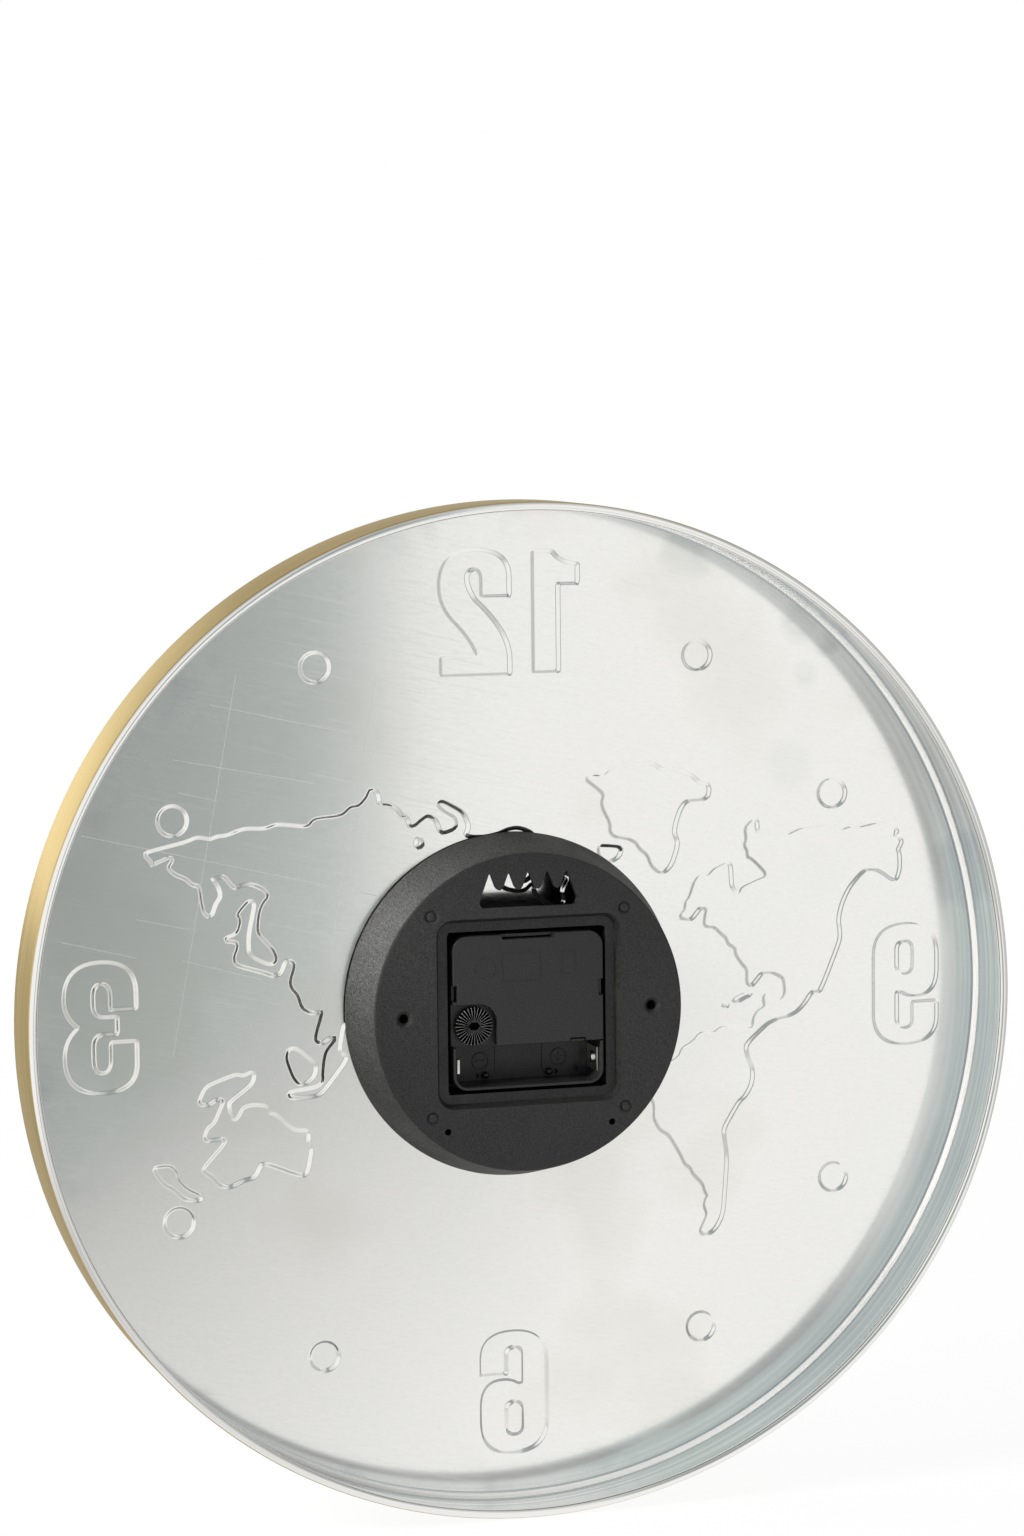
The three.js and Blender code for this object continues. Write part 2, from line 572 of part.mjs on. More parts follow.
// The housing
function hangerSlot() {
  const top = housingFaceRadius - hangerInset;
  const bottom = top - hangerHeight;
  const points = [[-hangerWidth / 2, bottom], [hangerWidth / 2, bottom]];
  const last = (hangerNotches - 1) / 2;
  for (let i = last; i > -last; i -= 1) {
    points.push([i * hangerPitch, top], [(i - 0.5) * hangerPitch, top - hangerToothDepth]);
  }
  points.push([-last * hangerPitch, top]);
  return plate(shapeOf(points), housingRear - housingWall - fitGap, housingRear + beyond);
}
function screwHole() {
  const sink = screwHeadRadius - screwHoleRadius;
  return turning([
    [0, housingRear - beyond], [screwHoleRadius, housingRear - beyond],
    [screwHoleRadius, housingRear - sink], [screwHeadRadius, housingRear],
    [screwHeadRadius, housingRear + beyond], [0, housingRear + beyond],
  ], pinSides);
}
function housing() {
  const edge = housingWall / 2;
  const cup = turning([
    [housingBaseRadius - housingWall, housingFront], [housingBaseRadius, housingFront],
    [housingFaceRadius, housingRear - edge], [housingFaceRadius - edge, housingRear], [0, housingRear],
    [0, housingRear - housingWall], [housingFaceRadius - housingWall, housingRear - housingWall],
    [housingBaseRadius - housingWall, housingFront],
  ], housingSides);
  const landWidth = windowWidth + 2 * landMargin;
  const landHeight = windowHeight + 2 * landMargin;
  const around = (width, height, corner) => {
    return panel(width, caseMiddle - height / 2, caseMiddle + height / 2, corner, corner);
  };
  const landFloor = housingRear - landDepth;
  const walled = (width, height, corner) => {
    return around(width + 2 * housingWall, height + 2 * housingWall, corner + housingWall);
  };
  const rim = plate(walled(landWidth, landHeight, landCorner), landFloor - housingWall, housingRear);
  const pocket = plate(walled(windowWidth, windowHeight, 0), housingFront, landFloor);
  const bumpCircle = housingFaceRadius - bumpInset;
  const bumps = [1, 3, 5, 7].map((eighth) => {
    const bump = turning([
      [0, housingRear - edge], [bumpRadius, housingRear - edge], [bumpRadius, housingRear],
      [bumpRadius / 2, housingRear + bumpHeight], [0, housingRear + bumpHeight],
    ], pinSides);
    return at(polar(bumpCircle, eighth * Math.PI / 4), bump);
  });
  const screwCircle = housingFaceRadius - screwInset;
  const screwHoles = [0, Math.PI].map((angle) => at(polar(screwCircle, angle), screwHole()));
  const vents = [-ventAngle, Math.PI + ventAngle].map((angle) => {
    const vent = rod(ventRadius, housingRear - housingWall - fitGap, housingRear + beyond);
    return at(polar(housingFaceRadius - ventInset, angle), vent);
  });
  return cutBy(joined([cup, rim, pocket, ...bumps]), [
    plate(around(landWidth, landHeight, landCorner), landFloor, housingRear + beyond),
    plate(around(windowWidth, windowHeight, 0), pocketFloor, housingRear + beyond),
    rod(bushRadius + fitGap, housingFront - beyond, housingRear + beyond, tubeSides),
    hangerSlot(), ...screwHoles, ...vents,
  ]);
}
addPiece('movement_housing', housing(), blackPlastic);

// The movement's case
const arborSeat = (axis, front, rear) => at(axis, rod(pivotRadius + runGap, front, rear));
function caseHalf() {
  const inner = caseCorner - caseWall;
  const outside = panel(movementWidth, caseBottom, caseTop, caseCorner, caseCorner);
  const shell = plate(outside, caseFront, caseSplit);
  const bayOutside = panel(movementWidth, caseBottom, bayTop - fitGap, caseCorner, 0);
  const bayWalls = plate(bayOutside, caseFront, caseRear);
  const room = plate(panel(2 * roomHalf, -roomBelow, roomTop, 0, inner), caseInside, caseRear + beyond);
  const bay = plate(panel(2 * roomHalf, bayBottom, bayTop, bayCorner, 0), caseInside, caseRear + beyond);
  const frontSeats = [thirdAxis, stepAxis, rotorAxis].map((axis) => {
    return arborSeat(axis, caseInside - pivotDepth, caseInside + fitGap);
  });
  const stemSeat = at(knobAxis, rod(stemRadius + runGap, caseInside - pivotDepth, caseInside + fitGap));
  const bushHole = rod(bushRadius + seatGap, caseFront - beyond, caseInside + fitGap, tubeSides);
  const postFoot = caseInside - caseFloor / 2;
  const worksPost = at(worksAxis, rod(postRadius, postFoot, layerRear(worksLayer) + fitGap));
  const statorPosts = [-1, 1].map((side) => {
    const axis = [side * (roomHalf - statorInset - statorArm / 2), rotorAxis[1]];
    return at(axis, rod(statorArm / 3, postFoot, statorFront - fitGap));
  });
  const body = cutBy(joined([shell, bayWalls]), [room, bay]);
  return joined([cutBy(body, [...frontSeats, stemSeat, bushHole]), worksPost, ...statorPosts]);
}
addPiece('movement_case_front', caseHalf(), blackPlastic);

// The knob's pocket, grown by a wall on the inside of the cover
function pocketShape(wall) {
  const left = knobAxis[0] - knobRadius - pocketSide - wall;
  const top = knobAxis[1] + knobRadius + pocketTop + wall;
  const right = movementWidth / 2 + beyond;
  const bottom = bayTop - beyond;
  const corner = knobRadius + wall;
  const round = Array.from({ length: curveSteps + 1 }, (_, i) => {
    const [dx, dz] = polar(corner, Math.PI / 2 + i / curveSteps * Math.PI / 2);
    return [left + corner + dx, top - corner + dz];
  });
  return shapeOf([[right, top], ...round, [left, bottom], [right, bottom]]);
}
function rearCover() {
  const inner = caseCorner - caseWall;
  const half = movementWidth / 2;
  const pocketBase = caseRear - pocketDepth;
  const shell = plate(panel(movementWidth, bayTop, caseTop, 0, caseCorner), coverFront, caseRear);
  const room = plate(panel(2 * roomHalf, -roomBelow, roomTop, 0, inner), coverFront - beyond, coverInside);
  const pocketBlock = plate(pocketShape(caseWall), pocketBase - caseWall, caseRear);
  const pocket = plate(pocketShape(0), pocketBase, caseRear + beyond);
  const stemHole = at(knobAxis, rod(stemRadius + runGap, pocketBase - beyond, caseRear + beyond));
  const rearSeats = [centre, thirdAxis, stepAxis, rotorAxis].map((axis) => {
    return arborSeat(axis, coverInside - fitGap, coverInside + pivotDepth);
  });
  const notchFront = caseRear - notchDepth;
  const notchRear = caseRear + beyond;
  const snapBottom = knobAxis[1] + knobRadius + pocketTop + caseWall;
  const snaps = [-1, 1].map((side) => {
    const [left, right] = side > 0 ? [half - snapDepth, half + beyond] : [-half - beyond, -half + snapDepth];
    return block(left, right, notchFront, notchRear, snapBottom, snapBottom + snapWidth);
  });
  const tab = block(-tabWidth / 2, tabWidth / 2, notchFront, notchRear, caseTop - tabDepth, caseTop + beyond);
  const latchMiddle = -half * latchShare;
  const latch = block(latchMiddle - snapWidth / 2, latchMiddle + snapWidth / 2, notchFront, notchRear,
    bayTop - beyond, bayTop + caseWall);
  return cutBy(shell, [cutBy(room, [pocketBlock]), pocket, stemHole, ...rearSeats, ...snaps, tab, latch]);
}
addPiece('movement_rear_cover', rearCover(), blackPlastic);

// Centre fixing
const bush = joined([
  ring(hourTube + runGap, bushRadius, bushFront, flangeRear),
  ring(hourTube + runGap, bushFlange, flangeFront, flangeRear),
]);
addPiece('threaded_bush', bush, brass);
addPiece('rubber_washer', ring(bushRadius + fitGap, rubberRadius, rubberFront, rubberRear), rubber);
addPiece('brass_washer', ring(bushRadius + fitGap, washerRadius, washerFront, washerRear), brass);
const hexagon = Array.from({ length: 6 }, (_, i) => polar(nutAcrossFlats / Math.sqrt(3), i * Math.PI / 3));
const nutBore = rod(bushRadius + seatGap, nutFront - beyond, nutRear + beyond, tubeSides);
addPiece('fixing_nut', plate(shapeOf(hexagon), nutFront, nutRear).subtract(nutBore), brass);

// Hands: the outline points to twelve and is turned clockwise to the time shown
const secondTurn = shownSecond / 60;
const minuteTurn = (shownMinute + secondTurn) / 60;
const hourTurn = (shownHour + minuteTurn) / 12;
function hand(points, hubRadius, bore, rear, turn) {
  const front = rear - handThickness;
  const blade = plate(shapeOf(points), front, rear);
  const hub = rod(hubRadius, front, rear, tubeSides);
  const hole = rod(bore + seatGap, front - beyond, rear + beyond, tubeSides);
  return joined([blade, hub]).subtract(hole).rotate([0, 360 * turn, 0]);
}
function baton(length, width) {
  const tip = width * tipShare;
  return [[-width / 2, 0], [width / 2, 0], [tip, length - width], [0, length], [-tip, length - width]];
}
const hourBlade = baton(hourLength, hourWidth);
const hourHand = hand(hourBlade, hourWidth * hubShare, hourTube, hourHandRear, hourTurn);
addPiece('hour_hand', hourHand, blackLacquer);
const minuteBlade = baton(minuteLength, minuteWidth);
const minuteHand = hand(minuteBlade, minuteWidth * hubShare, minuteTube, minuteHandRear, minuteTurn);
addPiece('minute_hand', minuteHand, blackLacquer);
const needle = [
  [-secondWidth, -secondTail], [secondWidth, -secondTail], [secondWidth / 2, 0],
  [secondWidth / 4, secondLength], [-secondWidth / 4, secondLength], [-secondWidth / 2, 0],
];
const secondHand = hand(needle, capRadius, secondsShaft, secondHandRear, secondTurn);
const secondCap = rod(capRadius, clockFront, secondHandRear - handThickness, tubeSides);
addPiece('second_hand', secondHand.add(secondCap), blackLacquer);

// Motion works
const hourWheel = joined([
  toothed(hourTeeth, hourWheelRadius, meshing(worksAngle + Math.PI, hourTeeth), hourLayer),
  rod(hourTube, hourTubeFront, layerRear(hourLayer), tubeSides),
]).subtract(rod(minuteTube + runGap, hourTubeFront - beyond, layerRear(hourLayer) + beyond, tubeSides));
addPiece('hour_wheel', hourWheel, whiteNylon);
const minuteArbor = joined([
  rod(minuteTube, minuteTubeFront, layerRear(minuteLayer) + pinionOverhang, tubeSides),
  toothed(cannonTeeth, cannonRadius, worksAngle, worksLayer, pinionOverhang),
]).subtract(rod(secondsShaft + runGap, minuteTubeFront - beyond, layerRear(minuteLayer) + beyond));
addPiece('minute_arbor', minuteArbor, brass);
const worksWheel = joined([
  toothed(worksTeeth, worksWheelRadius, meshing(worksAngle, worksTeeth), worksLayer),
  toothed(worksPinionTeeth, worksPinionRadius, worksAngle + Math.PI, hourLayer, pinionOverhang),
  rod(postRadius * 2, layerRear(hourLayer), layerRear(worksLayer)),
]).subtract(rod(postRadius + runGap, caseFront, layerRear(worksLayer) + beyond));
addPiece('works_wheel', at(worksAxis, worksWheel), whiteNylon);
const clutchPhase = meshing(thirdAngle + Math.PI, minuteTeeth);
const clutchWheel = toothed(minuteTeeth, minuteWheelRadius, clutchPhase, minuteLayer);
const clutchBore = rod(minuteTube + runGap, caseFront, caseRear, tubeSides);
addPiece('minute_clutch_wheel', clutchWheel.subtract(clutchBore), whiteNylon);

// Running train: each arbor turns in a seat in the case and one in the cover
const arbor = (front, rear) => rod(pivotRadius, front, rear);
const arborFront = caseInside - pivotDepth + endPlay;
const arborRear = coverInside + pivotDepth - endPlay;
const pinion = (distance, wheelTeeth, phase, layer) => {
  return toothed(pinionTeeth, share(distance, pinionTeeth, wheelTeeth), phase, layer, pinionOverhang);
};
const thirdWheel = joined([
  arbor(arborFront, arborRear),
  pinion(thirdDistance, minuteTeeth, thirdAngle + Math.PI, minuteLayer),
  toothed(thirdTeeth, thirdWheelRadius, meshing(thirdAngle, thirdTeeth), thirdLayer),
  rod(pivotRadius * 2, layerRear(minuteLayer), layerRear(thirdLayer)),
]);
addPiece('third_wheel', at(thirdAxis, thirdWheel), whiteNylon);
const secondsWheel = joined([
  rod(secondsShaft, secondShaftFront + seatGap, arborRear),
  pinion(thirdDistance, thirdTeeth, thirdAngle, thirdLayer),
  toothed(secondsTeeth, secondsWheelRadius, meshing(stepAngle + Math.PI, secondsTeeth), secondsLayer),
  rod(secondsShaft * 2, layerRear(thirdLayer), layerRear(secondsLayer)),
]);
addPiece('seconds_wheel', secondsWheel, whiteNylon);
const stepWheel = joined([
  arbor(arborFront, arborRear),
  pinion(stepDistance, secondsTeeth, stepAngle + Math.PI, secondsLayer),
  toothed(stepTeeth, stepWheelRadius, meshing(rotorAngle + Math.PI, stepTeeth), stepLayer),
  rod(pivotRadius * 2, layerRear(secondsLayer), layerRear(stepLayer)),
]);
addPiece('step_wheel', at(stepAxis, stepWheel), whiteNylon);
const magnetMiddle = statorFront + statorThickness / 2;
const magnetFront = magnetMiddle - magnetThickness / 2;
const magnetRear = magnetMiddle + magnetThickness / 2;
const rotor = joined([
  arbor(arborFront, arborRear),
  pinion(rotorDistance, stepTeeth, rotorAngle + Math.PI, stepLayer),
  rod(magnetHub, layerRear(stepLayer), magnetRear),
]);
addPiece('rotor', at(rotorAxis, rotor), whiteNylon);
const magnet = ring(magnetHub + seatGap, magnetRadius, magnetFront, magnetRear);
addPiece('rotor_magnet', at(rotorAxis, magnet), magnetGrey);

// Setting knob with its stem and pinion
function settingKnob() {
  const points = [];
  for (let i = 0; i < knobSerrations; i += 1) {
    points.push(polar(knobRadius, 2 * Math.PI * i / knobSerrations));
    points.push(polar(knobRadius - knobSerration, 2 * Math.PI * (i + 0.5) / knobSerrations));
  }
  const front = caseRear - pocketDepth + fitGap;
  const rear = caseRear - knobSunk;
  return joined([
    plate(shapeOf(points), front, rear),
    rod(stemRadius, caseInside - pivotDepth + endPlay, front + fitGap),
    toothed(cannonTeeth, cannonRadius, worksAngle + Math.PI, worksLayer, pinionOverhang),
  ]).subtract(rod(knobSocket, rear - knobSocketDepth, rear + beyond, 6));
}
addPiece('setting_knob', at(knobAxis, settingKnob()), blackPlastic);

// Stepping motor: stator plate, iron core, bobbin and winding along X
const statorHalf = roomHalf - statorInset;
const coreTop = coilHeight + coreWidth / 2;
function statorPlate() {
  const [x, z] = rotorAxis;
  const side = rotorHole + statorRing;
  const low = z - statorBar / 2;
  const high = z + statorBar / 2;
  const armInside = statorHalf - statorArm;
  const points = [
    [-statorHalf, low], [x - side, low], [x - side, z - side], [x + side, z - side], [x + side, low],
    [statorHalf, low], [statorHalf, coreTop], [armInside, coreTop], [armInside, high], [x + side, high],
    [x + side, statorTop], [x - side, statorTop], [x - side, high], [-armInside, high], [-armInside, coreTop],
    [-statorHalf, coreTop],
  ];
  const hole = at(rotorAxis, rod(rotorHole, statorFront - beyond, statorRear + beyond, tubeSides));
  return plate(shapeOf(points), statorFront, statorRear).subtract(hole);
}
addPiece('stator', statorPlate(), softIron);
const core = block(-statorHalf, statorHalf, coreFront, coreRear, coreTop - coreWidth, coreTop);
addPiece('coil_core', core, softIron);
const bobbinHalf = statorHalf - statorArm - fitGap;
const coreMiddle = (coreFront + coreRear) / 2;
const alongX = (solid) => solid.rotate([0, 0, 90]).translate([0, coreMiddle, coilHeight]);
const flangeInside = bobbinHalf - coilFlange;
const spool = turning([
  [0, -bobbinHalf], [coilRadius, -bobbinHalf], [coilRadius, -flangeInside], [coilBarrel, -flangeInside],
  [coilBarrel, flangeInside], [coilRadius, flangeInside], [coilRadius, bobbinHalf], [0, bobbinHalf],
], tubeSides);
const coreSlot = block(-statorHalf, statorHalf, coreFront - seatGap, coreRear + seatGap,
  coreTop - coreWidth - seatGap, coreTop + seatGap);
addPiece('coil_bobbin', alongX(spool).subtract(coreSlot), whiteNylon);
const windingHalf = flangeInside - seatGap;
const winding = ring(coilBarrel + seatGap, coilRadius - windingInset, -windingHalf, windingHalf);
addPiece('coil_winding', alongX(winding), copper);

// Electronics on the inside of the case
const boardFront = caseInside + fitGap;
const boardRear = boardFront + boardThickness;
const boardLeft = -roomHalf + boardInset;
const boardRight = -tipOf(hourWheelRadius, hourTeeth) - wheelSpace;
const boardBottom = -roomBelow + boardInset;
const boardMiddle = (boardLeft + boardRight) / 2;
const board = block(boardLeft, boardRight, boardFront, boardRear, boardBottom, boardBottom + boardHeight);
addPiece('circuit_board', board, boardBrown);
const partFront = boardRear + fitGap;
const chipLeft = boardLeft + boardInset;
const chipRight = chipLeft + chipSize;
const chip = block(chipLeft, chipRight, partFront, partFront + chipThickness, -chipSize / 2, chipSize / 2);
addPiece('clock_chip', chip, blackPlastic);
const can = solidOf(new THREE.CylinderGeometry(crystalRadius, crystalRadius, crystalLength, pinSides));
const crystal = can.rotate([90, 0, 0]).translate([boardMiddle, partFront + crystalRadius, 0]);
addPiece('quartz_crystal', crystal, nickel);

// Battery contacts: a sprung leaf at the right, a plate with a raised stud at the left
const contactBottom = bayBottom + bayCorner + fitGap;
const contactFront = caseInside + fitGap;
const contactRear = caseRear - notchDepth;
function upright(points) {
  const shape = new THREE.Shape(points.map(([x, y]) => new THREE.Vector2(x, y)));
  const geometry = new THREE.ExtrudeGeometry(shape, { depth: contactWidth, bevelEnabled: false });
  geometry.translate(0, 0, contactBottom);
  return solidOf(geometry);
}
const endWall = roomHalf - fitGap;
const leaf = contactRoom - fitGap - contactSheet;
const contactHalf = (contactFront + contactRear) / 2;
addPiece('negative_contact', upright([
  [endWall, contactFront], [endWall, contactRear], [endWall - contactSheet, contactRear],
  [endWall - leaf, contactHalf], [endWall - leaf, contactHalf - contactSheet * 2],
  [endWall - contactSheet, contactRear - contactSheet * 3], [endWall - contactSheet, contactFront],
]), nickel);
const contactPlate = upright([
  [-endWall, contactRear], [-endWall, contactFront], [-endWall + contactSheet, contactFront],
  [-endWall + contactSheet, contactRear],
]);
const stud = solidOf(new THREE.CylinderGeometry(contactWidth / 4, contactWidth / 4, leaf, pinSides));
const studMiddle = -endWall + contactSheet / 2 + leaf / 2;
const studHeight = (bayTop + bayBottom) / 2;
const raisedStud = stud.rotate([0, 0, 90]).translate([studMiddle, contactHalf, studHeight]);
addPiece('positive_contact', contactPlate.add(raisedStud), nickel);

// The origin is the middle of the clock's box
clock.position.y = -clockFront / 2;

export default clock;
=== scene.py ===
import math
import bmesh
import bpy
import numpy as np
from mathutils import Matrix, Vector
from mathutils.geometry import delaunay_2d_cdt


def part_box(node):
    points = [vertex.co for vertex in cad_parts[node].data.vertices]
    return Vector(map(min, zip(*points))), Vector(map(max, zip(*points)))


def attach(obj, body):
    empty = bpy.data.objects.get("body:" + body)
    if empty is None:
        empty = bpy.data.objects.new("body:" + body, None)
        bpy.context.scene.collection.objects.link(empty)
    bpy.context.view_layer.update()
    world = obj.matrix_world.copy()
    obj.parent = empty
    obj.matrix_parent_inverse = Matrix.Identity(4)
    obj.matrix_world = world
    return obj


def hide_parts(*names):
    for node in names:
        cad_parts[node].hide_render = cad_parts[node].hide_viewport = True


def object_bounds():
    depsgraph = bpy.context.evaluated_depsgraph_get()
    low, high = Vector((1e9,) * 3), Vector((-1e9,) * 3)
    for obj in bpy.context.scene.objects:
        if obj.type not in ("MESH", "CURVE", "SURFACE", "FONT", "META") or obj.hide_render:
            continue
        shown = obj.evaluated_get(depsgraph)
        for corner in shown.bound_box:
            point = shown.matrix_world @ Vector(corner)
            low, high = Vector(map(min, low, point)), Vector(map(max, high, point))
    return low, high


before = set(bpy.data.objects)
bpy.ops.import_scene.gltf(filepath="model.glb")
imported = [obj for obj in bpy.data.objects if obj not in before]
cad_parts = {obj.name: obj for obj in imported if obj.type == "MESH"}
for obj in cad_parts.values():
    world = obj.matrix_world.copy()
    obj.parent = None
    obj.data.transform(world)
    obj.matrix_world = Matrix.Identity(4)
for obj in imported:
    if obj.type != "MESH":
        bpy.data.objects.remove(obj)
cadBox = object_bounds()
mm = 0.001
print("frame loaded:", len(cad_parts), "nodes")


# sizes read from the frame, in millimetres
def span(node):
    low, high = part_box(node)
    return np.array(low) / mm, np.array(high) / mm


trayLow, trayHigh = span("dial_tray")
housingLow, housingHigh = span("movement_housing")
caseLow, caseHigh = span("movement_case_front")
coverLow, coverHigh = span("movement_rear_cover")
knobLow, knobHigh = span("setting_knob")
knobCentre = np.array([(knobLow[0] + knobHigh[0]) / 2, (knobLow[2] + knobHigh[2]) / 2])


def intoScene(name, data):
    thing = bpy.data.objects.new(name, data)
    bpy.context.scene.collection.objects.link(thing)
    return thing


# camera, in millimetres and degrees
cameraSet = {
    "yaw": 17.05,        # round from straight behind
    "pitch": 5.58,
    "roll": -0.59,
    "distance": 1552,    # from the middle of the pan's rear edge
    "slideRight": -7.7,
    "slideUp": 89.3,
    "lens": 100.9,
    "sensor": 36,
}


def placeCamera(s):
    turn = math.pi - math.radians(s["yaw"])
    tilt = math.radians(s["pitch"])
    back = Vector((math.sin(turn) * math.cos(tilt), -math.cos(turn) * math.cos(tilt), math.sin(tilt)))
    right = (-back).cross(Vector((0, 0, 1))).normalized()
    up = right.cross(-back)
    aim = Vector((0, trayHigh[1], 0))
    spot = aim + right * s["slideRight"] + up * s["slideUp"] + back * s["distance"]
    rotation = Matrix((right, up, back)).transposed() @ Matrix.Rotation(math.radians(s["roll"]), 3, "Z")
    lensData = bpy.data.cameras.new("photoCamera")
    lensData.lens = s["lens"]
    lensData.sensor_width = s["sensor"]
    camera = intoScene("photoCamera", lensData)
    camera.matrix_world = Matrix.Translation(spot * mm) @ rotation.to_4x4()
    bpy.context.scene.camera = camera


placeCamera(cameraSet)
bpy.context.scene.view_settings.view_transform = "Standard"
print("camera placed")


# node helpers: a value may be another node's socket, and what comes back is a socket
noiseSpan = (0.3, 0.7)     # most of a noise lies between these


def feed(tree, value, socket):
    if isinstance(value, bpy.types.NodeSocket):
        tree.links.new(value, socket)
    elif socket.type == "RGBA":
        socket.default_value = (*value, 1)
    else:
        socket.default_value = value


def setInputs(tree, node, **inputs):
    for key, value in inputs.items():
        feed(tree, value, node.inputs[key.replace("_", " ")])
    return node


def addNode(tree, kind, **inputs):
    return setInputs(tree, tree.nodes.new(kind), **inputs)


def startMaterial(name):
    material = bpy.data.materials.new(name)
    material.use_nodes = True
    tree = material.node_tree
    return material, tree, tree.nodes["Principled BSDF"]


def placeOf(tree, kind="Object"):
    return tree.nodes.new("ShaderNodeTexCoord").outputs[kind]


def axisOf(tree, vector, axis):
    return addNode(tree, "ShaderNodeSeparateXYZ", Vector=vector).outputs[axis]


def grainNoise(tree, perMetre, detail=2.0, turn=0.0):
    # grains to a metre along x, y and z, after a turn in the dial's plane
    scale = [1 / float(n) for n in np.broadcast_to(perMetre, 3)]
    mapping = addNode(tree, "ShaderNodeMapping", Vector=placeOf(tree), Scale=scale, Rotation=(0, -turn, 0))
    mapping.vector_type = "TEXTURE"
    noise = addNode(tree, "ShaderNodeTexNoise", Vector=mapping.outputs[0], Scale=1.0, Detail=detail)
    return noise.outputs["Fac"]


def levels(tree, source, taken, given):
    node = addNode(tree, "ShaderNodeMapRange", Value=source, From_Min=taken[0], From_Max=taken[1])
    return setInputs(tree, node, To_Min=given[0], To_Max=given[1]).outputs[0]


def sums(tree, kind, total, *others):
    for other in others:
        node = tree.nodes.new("ShaderNodeMath")
        node.operation = kind
        feed(tree, total, node.inputs[0])
        feed(tree, other, node.inputs[1])
        total = node.outputs[0]
    return total


def vectorStep(tree, kind, first, second=None):
    node = tree.nodes.new("ShaderNodeVectorMath")
    node.operation = kind
    feed(tree, first, node.inputs[0])
    if second is not None:
        feed(tree, second, node.inputs["Scale" if kind == "SCALE" else 1])
    return node.outputs["Value" if kind in ("LENGTH", "DISTANCE", "DOT_PRODUCT") else "Vector"]


def mixColours(tree, factor, first, second):
    node = tree.nodes.new("ShaderNodeMix")
    node.data_type = "RGBA"
    setInputs(tree, node, Factor=factor, A=first, B=second)
    return node.outputs["Result"]


def mixShaders(tree, factor, first, second, end):
    mix = addNode(tree, "ShaderNodeMixShader", Fac=factor)
    feed(tree, first, mix.inputs[1])
    feed(tree, second, mix.inputs[2])
    feed(tree, mix.outputs[0], tree.nodes[end].inputs["Surface"])


def addBump(tree, shader, height, strength, distance):
    bump = addNode(tree, "ShaderNodeBump", Height=height, Strength=strength, Distance=distance)
    setInputs(tree, shader, Normal=bump.outputs[0])


# finishes
sheetSet = {
    "grainTurn": math.radians(13.5),      # the sheet's rolling direction on the dial
    "lines": (240, 60, 1500),             # grains to a metre: long one way, fine the other
    "lineTone": (0.1, 0.4),
    "lineBump": 0.006,
    "lineDepth": 0.00003,
    "specks": (700, 60, 1100),
    "speckTone": ((0.35, 0.65), (-0.25, 0.25)),
    "scuff": ((0.45, 0.72), (1.0, 0.95)),  # how metallic the scuffed grain stays
    "clouds": 11,
    "cloudTone": (0.0, 0.5),
    "cloudRough": ((0.35, 0.7), (0, 0.015)),
    "smudges": ((0.53, 0.63), (0, 0.75)),
    "smudgeColour": (0.80, 0.79, 0.74),
    "blots": 30,
    "stainReach": (0.164, 0.181),         # stains near the wall, metres from the middle
    "stains": ((0.54, 0.64), (0, 0.55)),
    # colour of the stains, and of the painted shade beside the wall
    "stainAndShadeColour": (0.60, 0.61, 0.60),
    "paintedShadeReach": (0.170, 0.182),         # painted shade beside the wall, low on the side of the nine
    "paintedShadeWay": (-0.75, 0, -0.66),
    "paintedShade": ((0.09, 0.17), (0, 0.6)),
    "spots": (                            # stains: x, z, reach in millimetres and strength
        (-114, 137, 10, 1.0), (-124, 130, 7, 0.9), (-115.4, 118.1, 6, 0.25), (-109, 84, 12, 0.16),
        (-119, 43, 13, 0.16),
    ),
    "spotCore": 0.5,                      # share of the reach at full strength
    "ragged": ((0.38, 0.55), (0.3, 1)),
    "hairs": (26, 60, 2800),              # sparse hair lines along the grain
    "hairRough": ((0.66, 0.74), (0, 0.035)),
    "scratchRough": 0.16,
    "scratchHalf": 0.20,
    "scratchCore": 0.4,
    "scratches": (                        # ends in x and z, millimetres
        (158.9, 68.9, 50.8, 42.3), (101.9, 124.3, 127.2, -12.2), (50.1, 122.0, 71.4, 5.3),
        (166.9, 31.1, 139.9, 24.1), (111.5, 113.9, 55.0, 100.7), (125.3, 94.7, 74.0, 84.4),
        (123.7, 82.8, 109.5, 79.3), (139.6, 37.9, 117.8, 32.9), (123.0, 22.3, 93.7, 13.8),
    ),
}


def scratchMark(tree, place, ends, s):
    # 1 on a straight scratch between two points, 0 away from it
    x0, z0, x1, z1 = [c * mm for c in ends]
    run = Vector((x1 - x0, 0, z1 - z0))
    away = vectorStep(tree, "SUBTRACT", place, (x0, 0, z0))
    share = vectorStep(tree, "DOT_PRODUCT", away, run / run.length_squared)
    foot = vectorStep(tree, "SCALE", run, levels(tree, share, (0, 1), (0, 1)))
    half = s["scratchHalf"] * mm
    return levels(tree, vectorStep(tree, "DISTANCE", away, foot), (half * s["scratchCore"], half), (1, 0))
